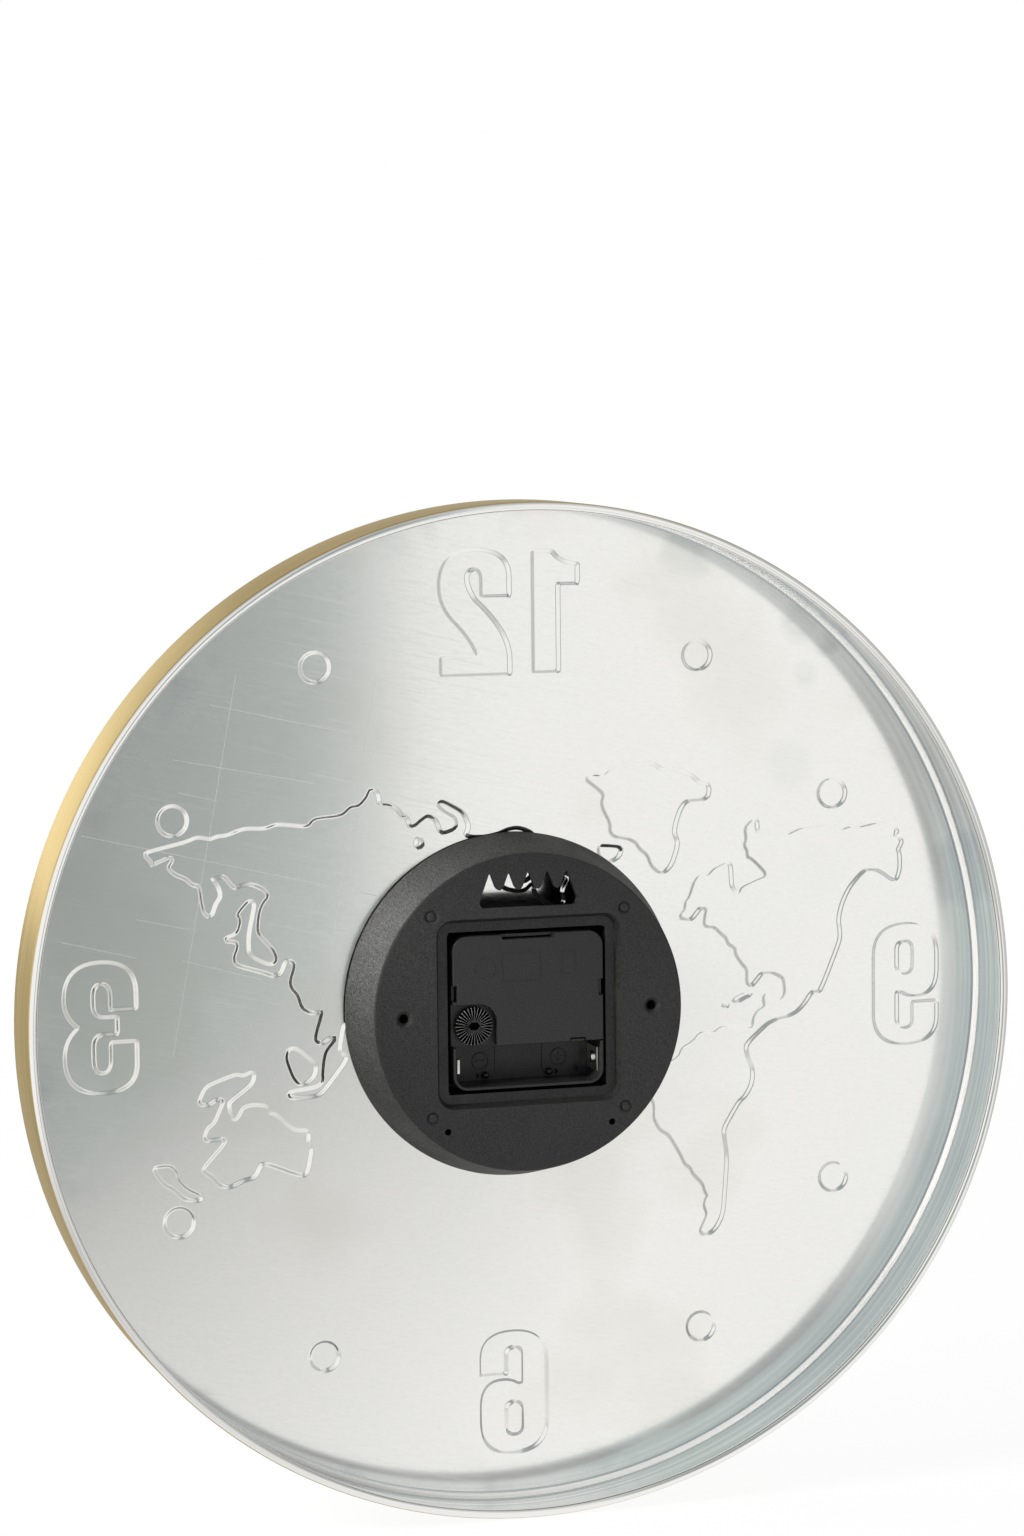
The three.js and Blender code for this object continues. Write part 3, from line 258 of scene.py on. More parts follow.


# stains on the sheet, and painted shade beside the wall low on the side of the nine
def stainsAndPaintedShade(tree, place, s):
    blots = grainNoise(tree, s["blots"])
    fromMiddle = vectorStep(tree, "LENGTH", place)
    nearWall = levels(tree, fromMiddle, s["stainReach"], (0, 1))
    stains = [sums(tree, "MULTIPLY", nearWall, levels(tree, blots, *s["stains"]))]
    # painted shade: darker beside the wall, low on the side of the nine
    foot = levels(tree, fromMiddle, s["paintedShadeReach"], (0, 1))
    lowSide = levels(tree, vectorStep(tree, "DOT_PRODUCT", place, s["paintedShadeWay"]), *s["paintedShade"])
    stains.append(sums(tree, "MULTIPLY", foot, lowSide))
    ragged = levels(tree, blots, *s["ragged"])
    for x, z, reach, strength in s["spots"]:
        gap = vectorStep(tree, "LENGTH", vectorStep(tree, "SUBTRACT", place, (x * mm, 0, z * mm)))
        spot = levels(tree, gap, (reach * s["spotCore"] * mm, reach * mm), (strength, 0))
        stains.append(sums(tree, "MULTIPLY", spot, ragged))
    return sums(tree, "MAXIMUM", *stains)


def bareSheet(name, dark, pale, rough, s):
    material, tree, shader = startMaterial(name)
    lines = grainNoise(tree, s["lines"], 3.0, s["grainTurn"])
    clouds = grainNoise(tree, s["clouds"], 3.0)
    # the depth is left out of a place on the dial
    place = addNode(tree, "ShaderNodeMapping", Vector=placeOf(tree), Scale=(1, 0, 1)).outputs[0]
    scratch = sums(tree, "MAXIMUM", *[scratchMark(tree, place, ends, s) for ends in s["scratches"]])
    roughness = sums(
        tree, "ADD",
        levels(tree, lines, noiseSpan, rough),
        levels(tree, clouds, *s["cloudRough"]),
        levels(tree, grainNoise(tree, s["hairs"], 0.0, s["grainTurn"]), *s["hairRough"]),
        sums(tree, "MULTIPLY", scratch, s["scratchRough"]),
    )
    tone = sums(
        tree, "ADD",
        levels(tree, clouds, noiseSpan, s["cloudTone"]),
        levels(tree, lines, noiseSpan, s["lineTone"]),
        levels(tree, grainNoise(tree, s["specks"], 1.0, s["grainTurn"]), *s["speckTone"]),
    )
    metal = mixColours(tree, tone, dark, pale)
    metal = mixColours(tree, levels(tree, clouds, *s["smudges"]), metal, s["smudgeColour"])
    metal = mixColours(tree, stainsAndPaintedShade(tree, place, s), metal, s["stainAndShadeColour"])
    scuffed = levels(tree, lines, *s["scuff"])
    setInputs(tree, shader, Base_Color=metal, Roughness=roughness, Metallic=scuffed)
    addBump(tree, shader, lines, s["lineBump"], s["lineDepth"])
    return material


brushSet = {
    "clouds": 9,
    "cloudTone": (0.0, 0.35),
    "lineTone": (0.0, 0.65),
    "depth": 0.00004,
}


def brushedSheet(name, dark, pale, rough, perMetre, bump=0.03, turn=0, edgeTint=(1, 1, 1), metallic=1.0):
    material, tree, shader = startMaterial(name)
    lines = grainNoise(tree, perMetre, 3.0, turn)
    cloudTone = levels(tree, grainNoise(tree, brushSet["clouds"], 3.0), noiseSpan, brushSet["cloudTone"])
    tone = sums(tree, "ADD", cloudTone, levels(tree, lines, noiseSpan, brushSet["lineTone"]))
    setInputs(tree, shader, Base_Color=mixColours(tree, tone, dark, pale), Specular_Tint=edgeTint)
    setInputs(tree, shader, Roughness=levels(tree, lines, noiseSpan, rough), Metallic=metallic)
    addBump(tree, shader, lines, bump, brushSet["depth"])
    return material


plasticSet = {
    "clouds": 60,
    "roughEither": 0.05,      # more and less rough in patches
    "bump": 0.5,
}


def mouldedPlastic(name, dark, pale, rough, grain, depth, shine=0.5):
    material, tree, shader = startMaterial(name)
    fine = grainNoise(tree, grain)
    either = plasticSet["roughEither"]
    clouds = grainNoise(tree, plasticSet["clouds"])
    patches = levels(tree, clouds, noiseSpan, (rough - either, rough + either))
    colour = mixColours(tree, levels(tree, fine, noiseSpan, (0, 1)), dark, pale)
    setInputs(tree, shader, Base_Color=colour, Roughness=patches, Specular_IOR_Level=shine)
    addBump(tree, shader, fine, plasticSet["bump"], depth)
    return material


metalSet = {
    "roughEither": 0.06,
    "bump": 0.2,
    "depth": 0.00003,
}


def turnedMetal(name, dark, pale, rough, perMetre):
    material, tree, shader = startMaterial(name)
    lines = grainNoise(tree, perMetre)
    either = metalSet["roughEither"]
    colour = mixColours(tree, levels(tree, lines, noiseSpan, (0, 1)), dark, pale)
    roughness = levels(tree, lines, noiseSpan, (rough - either, rough + either))
    setInputs(tree, shader, Base_Color=colour, Roughness=roughness, Metallic=1)
    addBump(tree, shader, lines, metalSet["bump"], metalSet["depth"])
    return material


# the pan: bare inside, gold outside
bareAluminium = bareSheet(
    "bareAluminium", (0.84, 0.838, 0.81), (0.885, 0.876, 0.842), (0.105, 0.13), sheetSet)
rimAluminium = brushedSheet("rimAluminium", (0.50, 0.53, 0.55), (0.94, 0.95, 0.95), (0.12, 0.20), (6, 560, 6))
rolledAluminium = brushedSheet(
    "rolledAluminium", (0.84, 0.835, 0.81), (0.93, 0.92, 0.895), (0.12, 0.18), (9, 1500, 9))
# painted shade: the dark line at the foot of the corner is painted into the colour
paintedCornerShade = brushedSheet(
    "paintedCornerShade", (0.46, 0.485, 0.485), (0.60, 0.63, 0.63), (0.16, 0.24), (9, 1500, 9))
cornerPaintedHighlight = brushedSheet(      # painted highlight: the bright line along the corner
    "cornerPaintedHighlight", (0.88, 0.87, 0.84), (0.96, 0.95, 0.93), (0.30, 0.40), (9, 1500, 9), metallic=0.45)
goldSkirt = brushedSheet(
    "goldSkirt", (0.42, 0.33, 0.165), (0.80, 0.645, 0.35), (0.28, 0.40), (7, 1000, 7), 0.12,
    edgeTint=(0.68, 0.62, 0.48))
goldFace = brushedSheet(
    "goldFace", (0.54, 0.42, 0.20), (0.68, 0.54, 0.28), (0.26, 0.34), (22, 60, 1900), 0.12,
    sheetSet["grainTurn"], (0.8, 0.74, 0.6))

# plastics, by colours, roughness, grains to a metre, their depth in metres and shine
blackMoulded = mouldedPlastic(
    "blackMoulded", (0.002, 0.002, 0.002), (0.022, 0.022, 0.021), 0.5, 1700, 0.00018, 0.45)
# the housing's side: a coarser grain, and a paler colour than the face, which is painted light
blackSidePaintedLight = mouldedPlastic(
    "blackSidePaintedLight", (0.001, 0.001, 0.001), (0.064, 0.064, 0.062), 0.55, 1900, 0.0002, 0.15)
blackSmooth = mouldedPlastic(
    "blackSmooth", (0.001, 0.001, 0.001), (0.017, 0.017, 0.0165), 0.42, 2200, 0.0001, 0.45)
# painted highlight on the knob's crests, and painted shade in its grooves and socket
knobCrestPaintedHighlight = mouldedPlastic("knobCrestPaintedHighlight", (0.08, 0.08, 0.078), (0.14, 0.14, 0.136), 0.35, 2200, 0.0001)
knobPaintedShade = mouldedPlastic(
    "knobPaintedShade", (0.0005, 0.0005, 0.0005), (0.003, 0.003, 0.003), 0.7, 2200, 0.0001, 0.05)
whiteNylon = mouldedPlastic("whiteNylon", (0.72, 0.71, 0.66), (0.82, 0.81, 0.77), 0.45, 900, 0.00002)
blackRubber = mouldedPlastic("blackRubber", (0.015, 0.015, 0.015), (0.028, 0.028, 0.028), 0.85, 1500, 0.00005)
brownBoard = mouldedPlastic("brownBoard", (0.19, 0.10, 0.035), (0.28, 0.16, 0.07), 0.6, 700, 0.00002)
glossChip = mouldedPlastic("glossChip", (0.012, 0.012, 0.012), (0.024, 0.024, 0.024), 0.2, 500, 0.00001)
blackLacquer = mouldedPlastic(
    "blackLacquer", (0.010, 0.010, 0.010), (0.020, 0.020, 0.020), 0.28, 1200, 0.00001)

# metals, by colours, roughness and grains to a metre
turnedBrass = turnedMetal("turnedBrass", (0.60, 0.44, 0.17), (0.76, 0.60, 0.30), 0.26, (300, 4000, 300))
nickelPlate = turnedMetal("nickelPlate", (0.66, 0.65, 0.60), (0.80, 0.79, 0.74), 0.22, (600, 600, 60))
softIron = turnedMetal("softIron", (0.36, 0.36, 0.37), (0.50, 0.50, 0.51), 0.40, 400)
copperWire = turnedMetal("copperWire", (0.42, 0.14, 0.05), (0.62, 0.26, 0.11), 0.32, (5500, 60, 60))
darkMagnet = turnedMetal("darkMagnet", (0.05, 0.05, 0.055), (0.10, 0.10, 0.105), 0.5, 900)
print("finishes mixed")


# outlines in x and z, millimetres
tiny = 1e-9      # keeps a division from failing


def asLoop(points):
    loop = np.array(points, float)
    x, z = loop[:, 0], loop[:, 1]
    area = np.sum(x * np.roll(z, -1) - np.roll(x, -1) * z)
    return loop if area > 0 else loop[::-1].copy()


def cutCorners(loop, share=0.25):
    after = np.roll(loop, -1, 0)
    pairs = np.stack([loop * (1 - share) + after * share, loop * share + after * (1 - share)], 1)
    return pairs.reshape(-1, 2)


def resample(loop, step):
    closed = np.vstack([loop, loop[:1]])
    lengths = np.hypot(*np.diff(closed, axis=0).T)
    along = np.concatenate([[0], np.cumsum(lengths)])
    count = max(8, int(round(along[-1] / step)))
    marks = np.arange(count) * along[-1] / count
    return np.stack([np.interp(marks, along, closed[:, 0]), np.interp(marks, along, closed[:, 1])], 1)


def offsetLoop(loop, distance):
    before = loop - np.roll(loop, 1, 0)
    after = np.roll(loop, -1, 0) - loop
    sides = []
    for run in (before, after):
        sides.append(np.stack([run[:, 1], -run[:, 0]], 1) / np.maximum(np.hypot(*run.T), tiny)[:, None])
    corner = sides[0] + sides[1]
    corner /= np.maximum(np.hypot(*corner.T), tiny)[:, None]
    reach = distance / np.maximum(0.5, np.sum(corner * sides[0], 1))
    return loop + corner * reach[:, None]


def waysRound(count):
    turns = np.arange(count) * 2 * math.pi / count
    return turns, np.stack([np.cos(turns), np.sin(turns)], 1)


def circle(radius, count, centre=(0, 0)):
    return np.array(centre) + radius * waysRound(count)[1]


def roundRect(left, right, bottom, top, radii, steps=2):
    # radii for the corners from the lower right round, or one for all
    corners = [(right, bottom, -1, 1), (right, top, -1, -1), (left, top, 1, -1), (left, bottom, 1, 1)]
    points = []
    for k, ((x, z, sx, sz), radius) in enumerate(zip(corners, np.broadcast_to(radii, 4))):
        middleX, middleZ = x + sx * radius, z + sz * radius
        for i in range(steps + 1):
            turn = math.pi / 2 * (k - 1 + i / steps)
            points.append((middleX + radius * math.cos(turn), middleZ + radius * math.sin(turn)))
    return np.array(points)


def drawPath(steps, count=8):
    # a pair is a corner, and four numbers are a curve's handle and its end
    points = [steps[0]]
    for step in steps[1:]:
        if len(step) == 2:
            points.append(step)
            continue
        x0, z0 = points[-1]
        cx, cz, x1, z1 = step
        for i in range(1, count + 1):
            t = i / count
            points.append((
                (1 - t) ** 2 * x0 + 2 * t * (1 - t) * cx + t * t * x1,
                (1 - t) ** 2 * z0 + 2 * t * (1 - t) * cz + t * t * z1,
            ))
    return points


def arc(x, y, radius, start, end, steps):
    turns = [math.radians(start + (end - start) * i / steps) for i in range(steps + 1)]
    return [(x + radius * math.cos(t), y + radius * math.sin(t)) for t in turns]


def smoothStep(t):
    t = np.clip(t, 0, 1)
    return t * t * (3 - 2 * t)


# mesh helpers
pointsAtOnce = 300       # how many points are measured together, for the memory
mergeGap = 1e-4          # points closer than this are one


def insideLoops(points, loops):
    inside = np.zeros(len(points), bool)
    x, z = points[:, :1], points[:, 1:]
    for loop in loops:
        x0, z0 = loop[:, 0], loop[:, 1]
        x1, z1 = np.roll(x0, -1), np.roll(z0, -1)
        spans = (z0 > z) != (z1 > z)
        rise = np.where(z1 == z0, tiny, z1 - z0)
        crossing = x < (x1 - x0) * (z - z0) / rise + x0
        inside ^= (np.sum(spans & crossing, 1) % 2).astype(bool)
    return inside


def inParts(points):
    return np.array_split(points, max(1, len(points) // pointsAtOnce))


def triangulate(loops, borders):
    # returns points, triangles inside the borders, and where each loop's points went
    starts = np.cumsum([0] + [len(loop) for loop in loops])
    edges = []
    for start, loop in zip(starts, loops):
        count = len(loop)
        edges += [(int(start + i), int(start + (i + 1) % count)) for i in range(count)]
    found = delaunay_2d_cdt([Vector(p) for p in np.vstack(loops)], edges, [], 0, mergeGap, True)
    corners = np.array([tuple(v) for v in found[0]])
    triangles = np.array([tuple(f) for f in found[2]])
    place = {source: index for index, sources in enumerate(found[3]) for source in sources}
    middles = corners[triangles].mean(1)
    keep = np.concatenate([insideLoops(part, borders) for part in inParts(middles)])
    rows = [[place[start + i] for i in range(len(loop))] for start, loop in zip(starts, loops)]
    return corners, triangles[keep], rows


class Shell:
    # gathers points and faces for one object; a mark picks a face's finish
    def __init__(self):
        self.points = []
        self.faces = []
        self.marks = []

    def addPoints(self, points):
        start = len(self.points)
        self.points += points
        return list(range(start, len(self.points)))

    def add(self, xz, y):
        return self.addPoints([(x, h, z) for (x, z), h in zip(xz, np.broadcast_to(y, len(xz)))])

    def face(self, corners, mark=0):
        self.faces.append(tuple(corners))
        self.marks.append(mark)

    def band(self, first, second, mark=0):
        count = len(first)
        for i in range(count):
            j = (i + 1) % count
            self.face((first[i], first[j], second[j], second[i]), mark)

    def fan(self, row, apex, mark=0):
        count = len(row)
        for i in range(count):
            self.face((row[i], row[(i + 1) % count], apex), mark)

    def cap(self, loops, rows, y):
        corners, triangles, places = triangulate(loops, loops)
        known = {}
        for row, spots in zip(rows, places):
            known.update(zip(spots, row))
        for index, corner in enumerate(corners):
            if index not in known:
                known[index] = self.add([corner], y)[0]
        for triangle in triangles:
            self.face([known[i] for i in triangle])

    def finish(self, name, materials, sharp=40, weighted=True):
        mesh = bpy.data.meshes.new(name)
        mesh.from_pydata([tuple(c * mm for c in p) for p in self.points], [], self.faces, shade_flat=False)
        for material in materials:
            mesh.materials.append(material)
        mesh.polygons.foreach_set("material_index", self.marks)
        work = bmesh.new()
        work.from_mesh(mesh)
        bmesh.ops.recalc_face_normals(work, faces=work.faces)
        work.to_mesh(mesh)
        work.free()
        mesh.set_sharp_from_angle(angle=math.radians(sharp))
        piece = intoScene(name, mesh)
        if weighted:
            smoothing = piece.modifiers.new("weightedNormal", "WEIGHTED_NORMAL")
            smoothing.keep_sharp = True
        return piece


def slab(shell, outline, front, rear, edge, holes=(), steps=3, sign=1):
    # a plate with its rear rim rounded; sign -1 rounds a rim that faces the front
    loops = [asLoop(outline)] + [asLoop(hole)[::-1].copy() for hole in holes]
    low = [shell.add(loop, front) for loop in loops]
    rows = low
    for i in range(steps + 1):
        turn = i / steps * math.pi / 2
        level = rear - sign * edge * (1 - math.sin(turn))
        fresh = [shell.add(offsetLoop(loop, -edge * (1 - math.cos(turn))), level) for loop in loops]
        for first, second in zip(rows, fresh):
            shell.band(first, second)
        rows = fresh
    shell.cap([offsetLoop(loop, -edge) for loop in loops], rows, rear)
    shell.cap(loops, low, front)


def spin(shell, profile, sides, centre=(0, 0)):
    # a closed profile of radius and y, turned round a line along y
    rows = [shell.add(circle(r, sides, centre) if r else [centre], y) for r, y in profile]
    for first, second in zip(rows, rows[1:] + rows[:1]):
        if len(first) == len(second) == 1:
            continue
        if len(first) == 1:
            shell.fan(second, first[0])
        elif len(second) == 1:
            shell.fan(first, second[0])
        else:
            shell.band(first, second)


def dress(piece, body, slotName, *nodes):
    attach(piece, body)
    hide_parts(*nodes)
    return piece


# figures pressed into the dial, seen from the front
america = [
    (-152, 58.5), (-150, 59), (-144, 60.7), (-137, 59.3), (-133, 59.7), (-129.5, 58.5), (-126, 60.5),
    (-124, 60.7), (-118, 60.2), (-114, 60), (-110.5, 58.7), (-108, 57.5), (-97, 59.3), (-96.3, 60),
    (-96.3, 64), (-94.3, 64), (-91.3, 61), (-92, 57), (-91, 54.5), (-92.3, 52.5), (-92.3, 50),
    (-94, 49.5), (-99.5, 44), (-99.3, 42.5), (-98, 42), (-90, 39), (-89, 36.5), (-88, 36.8), (-86, 39.5),
    (-85.8, 47), (-85, 48.5), (-83, 48), (-79, 46.3), (-77, 44), (-75.5, 43.8), (-73.5, 44.3),
    (-71.3, 42), (-69.3, 36), (-67.8, 34.5), (-67.5, 31.5), (-66, 30), (-65.7, 28.5), (-67.5, 28),
    (-70, 27.5), (-73, 31), (-73.7, 32), (-76, 31.5), (-75.7, 30), (-74.8, 25), (-79.5, 24.3),
    (-81, 22.5), (-84, 20), (-84.3, 18), (-87.5, 16), (-87.3, 14), (-90, 10), (-92, 8), (-91.8, 3),
    (-93, 1.5), (-94, 1.7), (-96, 4), (-98, 6.3), (-102, 6.2), (-106.5, 4), (-107, -1), (-106.5, -3),
    (-105, -4.3), (-101, -2.5), (-99, -1.5), (-98.3, -3.5), (-99, -6.5), (-96.5, -7.5), (-94.5, -10),
    (-94, -14), (-93, -14.3), (-84, -13), (-81, -13.3), (-79, -15), (-77, -14.8), (-73, -14.7),
    (-70.3, -18), (-66, -20), (-64.5, -24), (-51, -29), (-52, -36), (-54.5, -39.5), (-55, -42),
    (-54.7, -46), (-57, -50.5), (-60.5, -52.5), (-62.7, -56), (-65, -60), (-67, -64.3), (-69, -65.5),
    (-70, -68), (-74, -72), (-74.7, -75), (-76, -77), (-75, -77.5), (-74.2, -80.5), (-75.7, -83.5),
    (-73, -89), (-72.6, -90), (-74, -91.3), (-77, -91), (-79.5, -88.7), (-82, -84), (-83, -72),
    (-83.7, -62), (-82.5, -54), (-82.5, -51.5), (-86.5, -45), (-88.7, -41.7), (-91, -40), (-93.7, -35.5),
    (-94.2, -30), (-92, -25), (-91.3, -21), (-93.5, -18.5), (-97, -15.5), (-100, -13), (-104, -11.3),
    (-108, -10.8), (-112, -9), (-115, -6), (-117.7, -2), (-119.5, -1.7), (-121, -2.5), (-129, 16.5),
    (-129.3, 20), (-128.5, 25), (-130, 31), (-133, 37), (-139, 43.3), (-144, 43), (-147, 41.3),
    (-150, 39), (-152, 38.7), (-153.5, 43), (-153.3, 49), (-152.5, 50), (-154.3, 53), (-153.5, 55),
    (-151.3, 55.5), (-152.3, 57),
]
greenland = [
    (-77.5, 76), (-77, 78), (-75, 78.3), (-73, 79), (-71, 81.5), (-63, 84.7), (-59.5, 83.7), (-55, 87),
    (-50, 86.3), (-45, 87.2), (-38, 84.5), (-36.7, 82.7), (-31, 83), (-29.5, 82), (-30, 81), (-36.5, 76),
    (-35.3, 73), (-36, 70), (-38.7, 65), (-38.5, 62), (-40, 60), (-46, 58.8), (-48.5, 57.5), (-50, 55),
    (-53, 52.7), (-54.5, 48.5), (-57, 46.3), (-58, 45.8), (-60, 46), (-62.5, 48.5), (-64.5, 54),
    (-65, 57), (-63.5, 60.5), (-64.5, 65), (-66, 69), (-68, 71.7), (-70, 72.2), (-75, 72.3), (-77, 73.5),
]
eurasia = [
    (-9, 62.5), (-5.5, 64.3), (-2.5, 65), (1, 64.5), (4.5, 63), (10, 62), (15, 62.3), (17, 63),
    (15.5, 66), (17, 70), (18.5, 72), (25.5, 76), (27, 75.5), (27.3, 74), (24, 71.5), (20.5, 69.5),
    (20, 66.5), (22, 65), (26, 64), (27, 66), (28, 69), (31, 71), (34, 69), (36, 67.3), (38, 67),
    (38.5, 69), (39.5, 71), (40.5, 70.5), (42, 73), (45, 75.3), (49.5, 75.7), (49.5, 79), (51, 81),
    (53, 81.2), (54, 78.5), (57, 75.3), (60, 75.3), (63.5, 72), (74, 71.5), (76, 68.5), (83, 69.5),
    (88, 70), (92, 68.5), (100, 69), (106, 66.7), (110, 66.5), (112, 65.5), (117, 66.7), (121, 65),
    (135.5, 62), (136.3, 61), (134, 58.5), (133.5, 56.8), (133, 57.5), (128, 59.5), (127, 60),
    (126, 58.5), (128, 56), (125.5, 53.5), (121, 51.5), (119, 49.3), (116.5, 49), (116, 44), (115, 39),
    (113.5, 37.7), (112, 38), (110.7, 42), (108.5, 45), (110, 49.5), (112, 51.3), (109, 51.5),
    (107.5, 52.3), (105, 49), (103.5, 47.5), (101, 48.5), (97, 48.7), (92.5, 46.5), (91, 44), (93, 42),
    (94.5, 39), (95.3, 34), (95.2, 30.5), (89.5, 24.5), (88.3, 21), (89.5, 19.3), (92, 19.5), (97, 22),
    (98.7, 24), (98.7, 30), (97, 38), (96.3, 41), (97, 42.7), (98.7, 42.7), (103, 38), (101.5, 36),
    (102.5, 32), (104, 30.7), (107.3, 29.7), (107, 28.5), (103, 28), (102.8, 26), (104.3, 22.5),
    (103.7, 19.7), (96, 17.3), (92, 16), (90, 15), (87, 15.5), (85.3, 20), (84, 20.5), (81.5, 19),
    (83.7, 12.5), (83, 10), (80.7, 7.5), (79.3, 2.5), (75.5, 0.5), (73, 0.7), (71.5, 1.5), (75, -9.5),
    (72, -10.8), (69, -8.7), (67.3, -8.5), (67, -9.5), (71, -14), (72, -22), (71.7, -24.5), (74, -26.5),
    (83.5, -27.5), (85, -28.3), (84, -30), (75, -30), (72, -28.7), (63, -17.5), (63, -15.5),
    (65.7, -14.5), (64.3, -6), (63.5, -4), (61, -3.7), (58, -2), (54, 6), (49, -3), (45.5, -14), (42, -2),
    (38, 4), (28, 7), (23, 12), (31, 1), (28, -5), (18.5, -8), (10.5, 7), (16.5, -10), (25, -10),
    (16, -24), (16, -38), (10, -50), (4, -58), (-2, -61), (-8, -46), (-7, -36), (-10, -27), (-9, -20),
    (-25, -19), (-31, -11), (-30, -2), (-22, 14), (-9, 18), (-8, 13), (9, 10), (11, 17), (3, 18), (4, 22),
    (1, 18), (-2, 25), (-7, 29), (-4, 20), (-11, 29), (-15, 26), (-17, 21), (-24, 21), (-24, 28),
    (-18, 28), (-19, 33), (-9, 40), (-9, 45), (-5, 41), (4, 43), (4, 51), (0, 52), (-2, 45), (-6, 45),
    (-12, 50), (-10, 57),
]
australia = [
    (98, -19.3), (97.3, -21), (98, -23.5), (100.5, -25.7), (106.5, -30), (107, -31), (106, -36),
    (104.5, -36.7), (103, -35), (102, -32.5), (99, -31.5), (93.5, -32), (92.5, -33), (92, -35),
    (89.5, -35.5), (84.5, -40.5), (82, -42), (77.5, -42), (77.5, -45), (77.8, -47), (76.3, -48.5),
    (78, -57.5), (80, -59), (93, -53.5), (95.5, -53.5), (97, -57), (98.5, -58.3), (102, -59),
    (107, -61.3), (111, -60.3), (113.5, -57), (116.5, -55), (117, -53.7), (108.7, -45), (108.5, -43.7),
    (110, -43.3), (115.5, -43.7), (116.3, -42.5), (115, -39), (112.5, -37.5), (110, -32), (109, -30),
    (109.5, -28.8), (112, -29), (114, -30.7), (117.5, -30.3), (118, -29), (116, -25), (114.5, -23.5),
    (108, -21.2), (104, -20), (101.5, -20.8),
]
islands = [
    [(117.5, -64.5), (118.5, -63), (122.5, -61), (126, -57.5), (126.5, -54), (129, -51.7), (134.5, -52),
     (135, -53), (131.5, -58.5), (128, -60.3), (124, -64.5), (119, -65.3)],
    [(83, -11.5), (80, -13), (75, -17.5), (74.3, -19.5), (75, -22.5), (78, -25), (81, -25), (83, -22.5),
     (85.5, -15.5), (84.8, -12.5)],
    [(-43, 55), (-42, 56.3), (-35, 57), (-34, 56.5), (-34, 53.5), (-36, 51.5), (-39, 50.7), (-42, 52.5)],
    [(-94, -1.5), (-90.5, -0.8), (-87, -2.5), (-86, -3.5), (-88, -4.3), (-91, -2.7)],
    [(-84.5, -4.7), (-82, -4.5), (-82.3, -5.5), (-84, -5.7)],
    [(33, 61.5), (34.5, 63), (36, 61), (35, 59), (33, 59.7)],
    [(-21, 36), (-15.5, 37), (-17, 43), (-20, 48.5), (-22.5, 46), (-19.5, 41)],
    [(19, -35), (23, -36), (20, -46), (17.5, -43)],
]
one = drawPath([
    (-9.6, 121.8), (-9.6, 166), (-17, 166), (-19.5, 161.5, -26.8, 161), (-26.8, 153.8), (-19.3, 153.8),
    (-19.3, 121.8),
])
two = drawPath([
    (-0.7, 121.5), (25.6, 121.5), (25.6, 128.5), (12, 128.5), (13, 133, 19.5, 140), (26, 146, 26, 154),
    (26, 167, 13, 167), (-0.7, 167, -0.7, 157), (-0.7, 150), (10, 150), (10, 156), (10, 160, 13, 160),
    (18, 158, 12.5, 149), (-0.7, 137, -0.7, 127),
])
three = drawPath([
    (140.3, 6), (140.3, 12), (140.3, 23.3, 153, 23.3), (166.6, 23.3, 166.6, 10), (166.6, 4, 161.5, 0),
    (166.6, -4, 166.6, -11), (166.6, -24, 153, -24), (140.3, -24, 140.3, -14), (140.3, -5.7),
    (149.8, -5.7), (149.8, -12), (149.8, -16.8, 153, -16.8), (156, -16.8, 156, -12), (156, -7),
    (156, -2.8, 152, -2.8), (147.3, -2.8), (147.3, 3.4), (152, 3.4), (156, 3.4, 156, 8), (156, 11),
    (156, 15.4, 153, 15.4), (149.7, 15.4, 149.7, 11), (149.7, 6),
])
six = drawPath([
    (13.5, -138), (13.5, -132), (13.5, -122, 1, -122), (-12.2, -122, -12.2, -134), (-12.2, -156),
    (-12.2, -168, 1, -168), (13.5, -168, 13.5, -156), (13.5, -150), (13.5, -140.2, 5, -140.2),
    (1, -140.2, -1, -142), (-2.7, -142), (-2.7, -131), (-2.7, -128.2, 0.4, -128.2),
    (3.5, -128.2, 3.5, -131), (3.5, -138),
])
sixEye = drawPath([
    (-2.7, -152), (-2.7, -148.8, 0.4, -148.8), (3.6, -148.8, 3.6, -152), (3.6, -158),
    (3.6, -161.2, 0.4, -161.2), (-2.7, -161.2, -2.7, -158),
])
turnPoint = (-77.4, -72.9)     # the nine is the six turned half round this point


def halfTurn(points):
    return [(2 * turnPoint[0] - x, 2 * turnPoint[1] - z) for x, z in points]


panSet = {
    "sheet": 0.7,
    "fillet": 2.9,
    "bead": 1.65,          # radius of the rolled edge
    "lip": 8.0,            # how far the edge takes to run into the wall
    "sides": 240,
    "filletSteps": 8,
    "beadSteps": 14,
    "lipSteps": 8,
    "goldSteps": 4,        # how far the gold goes round the rolled edge
    "pressed": 1.3,        # depth of the figures in the frame
    "embossHeight": 0.8,
    "embossWall": 1.8,
    "rings": (-1.4, -0.9, -0.6, -0.3, 0.02, 0.3, 0.6, 0.9, 1.4),
    "step": 1.0,           # between points along an outline
    "coastCut": 0.2,
    "dotCircle": 145.5,
    "dotRadius": 5.4,
    "dotHours": (1, 2, 4, 5, 7, 8, 10, 11),
    "dotSides": 32,
    "seat": (10.5, 12.5),  # flat seat round the washer, fading out
    "seatSides": 48,
    "hole": 5.3,
    "holeSides": 32,
}


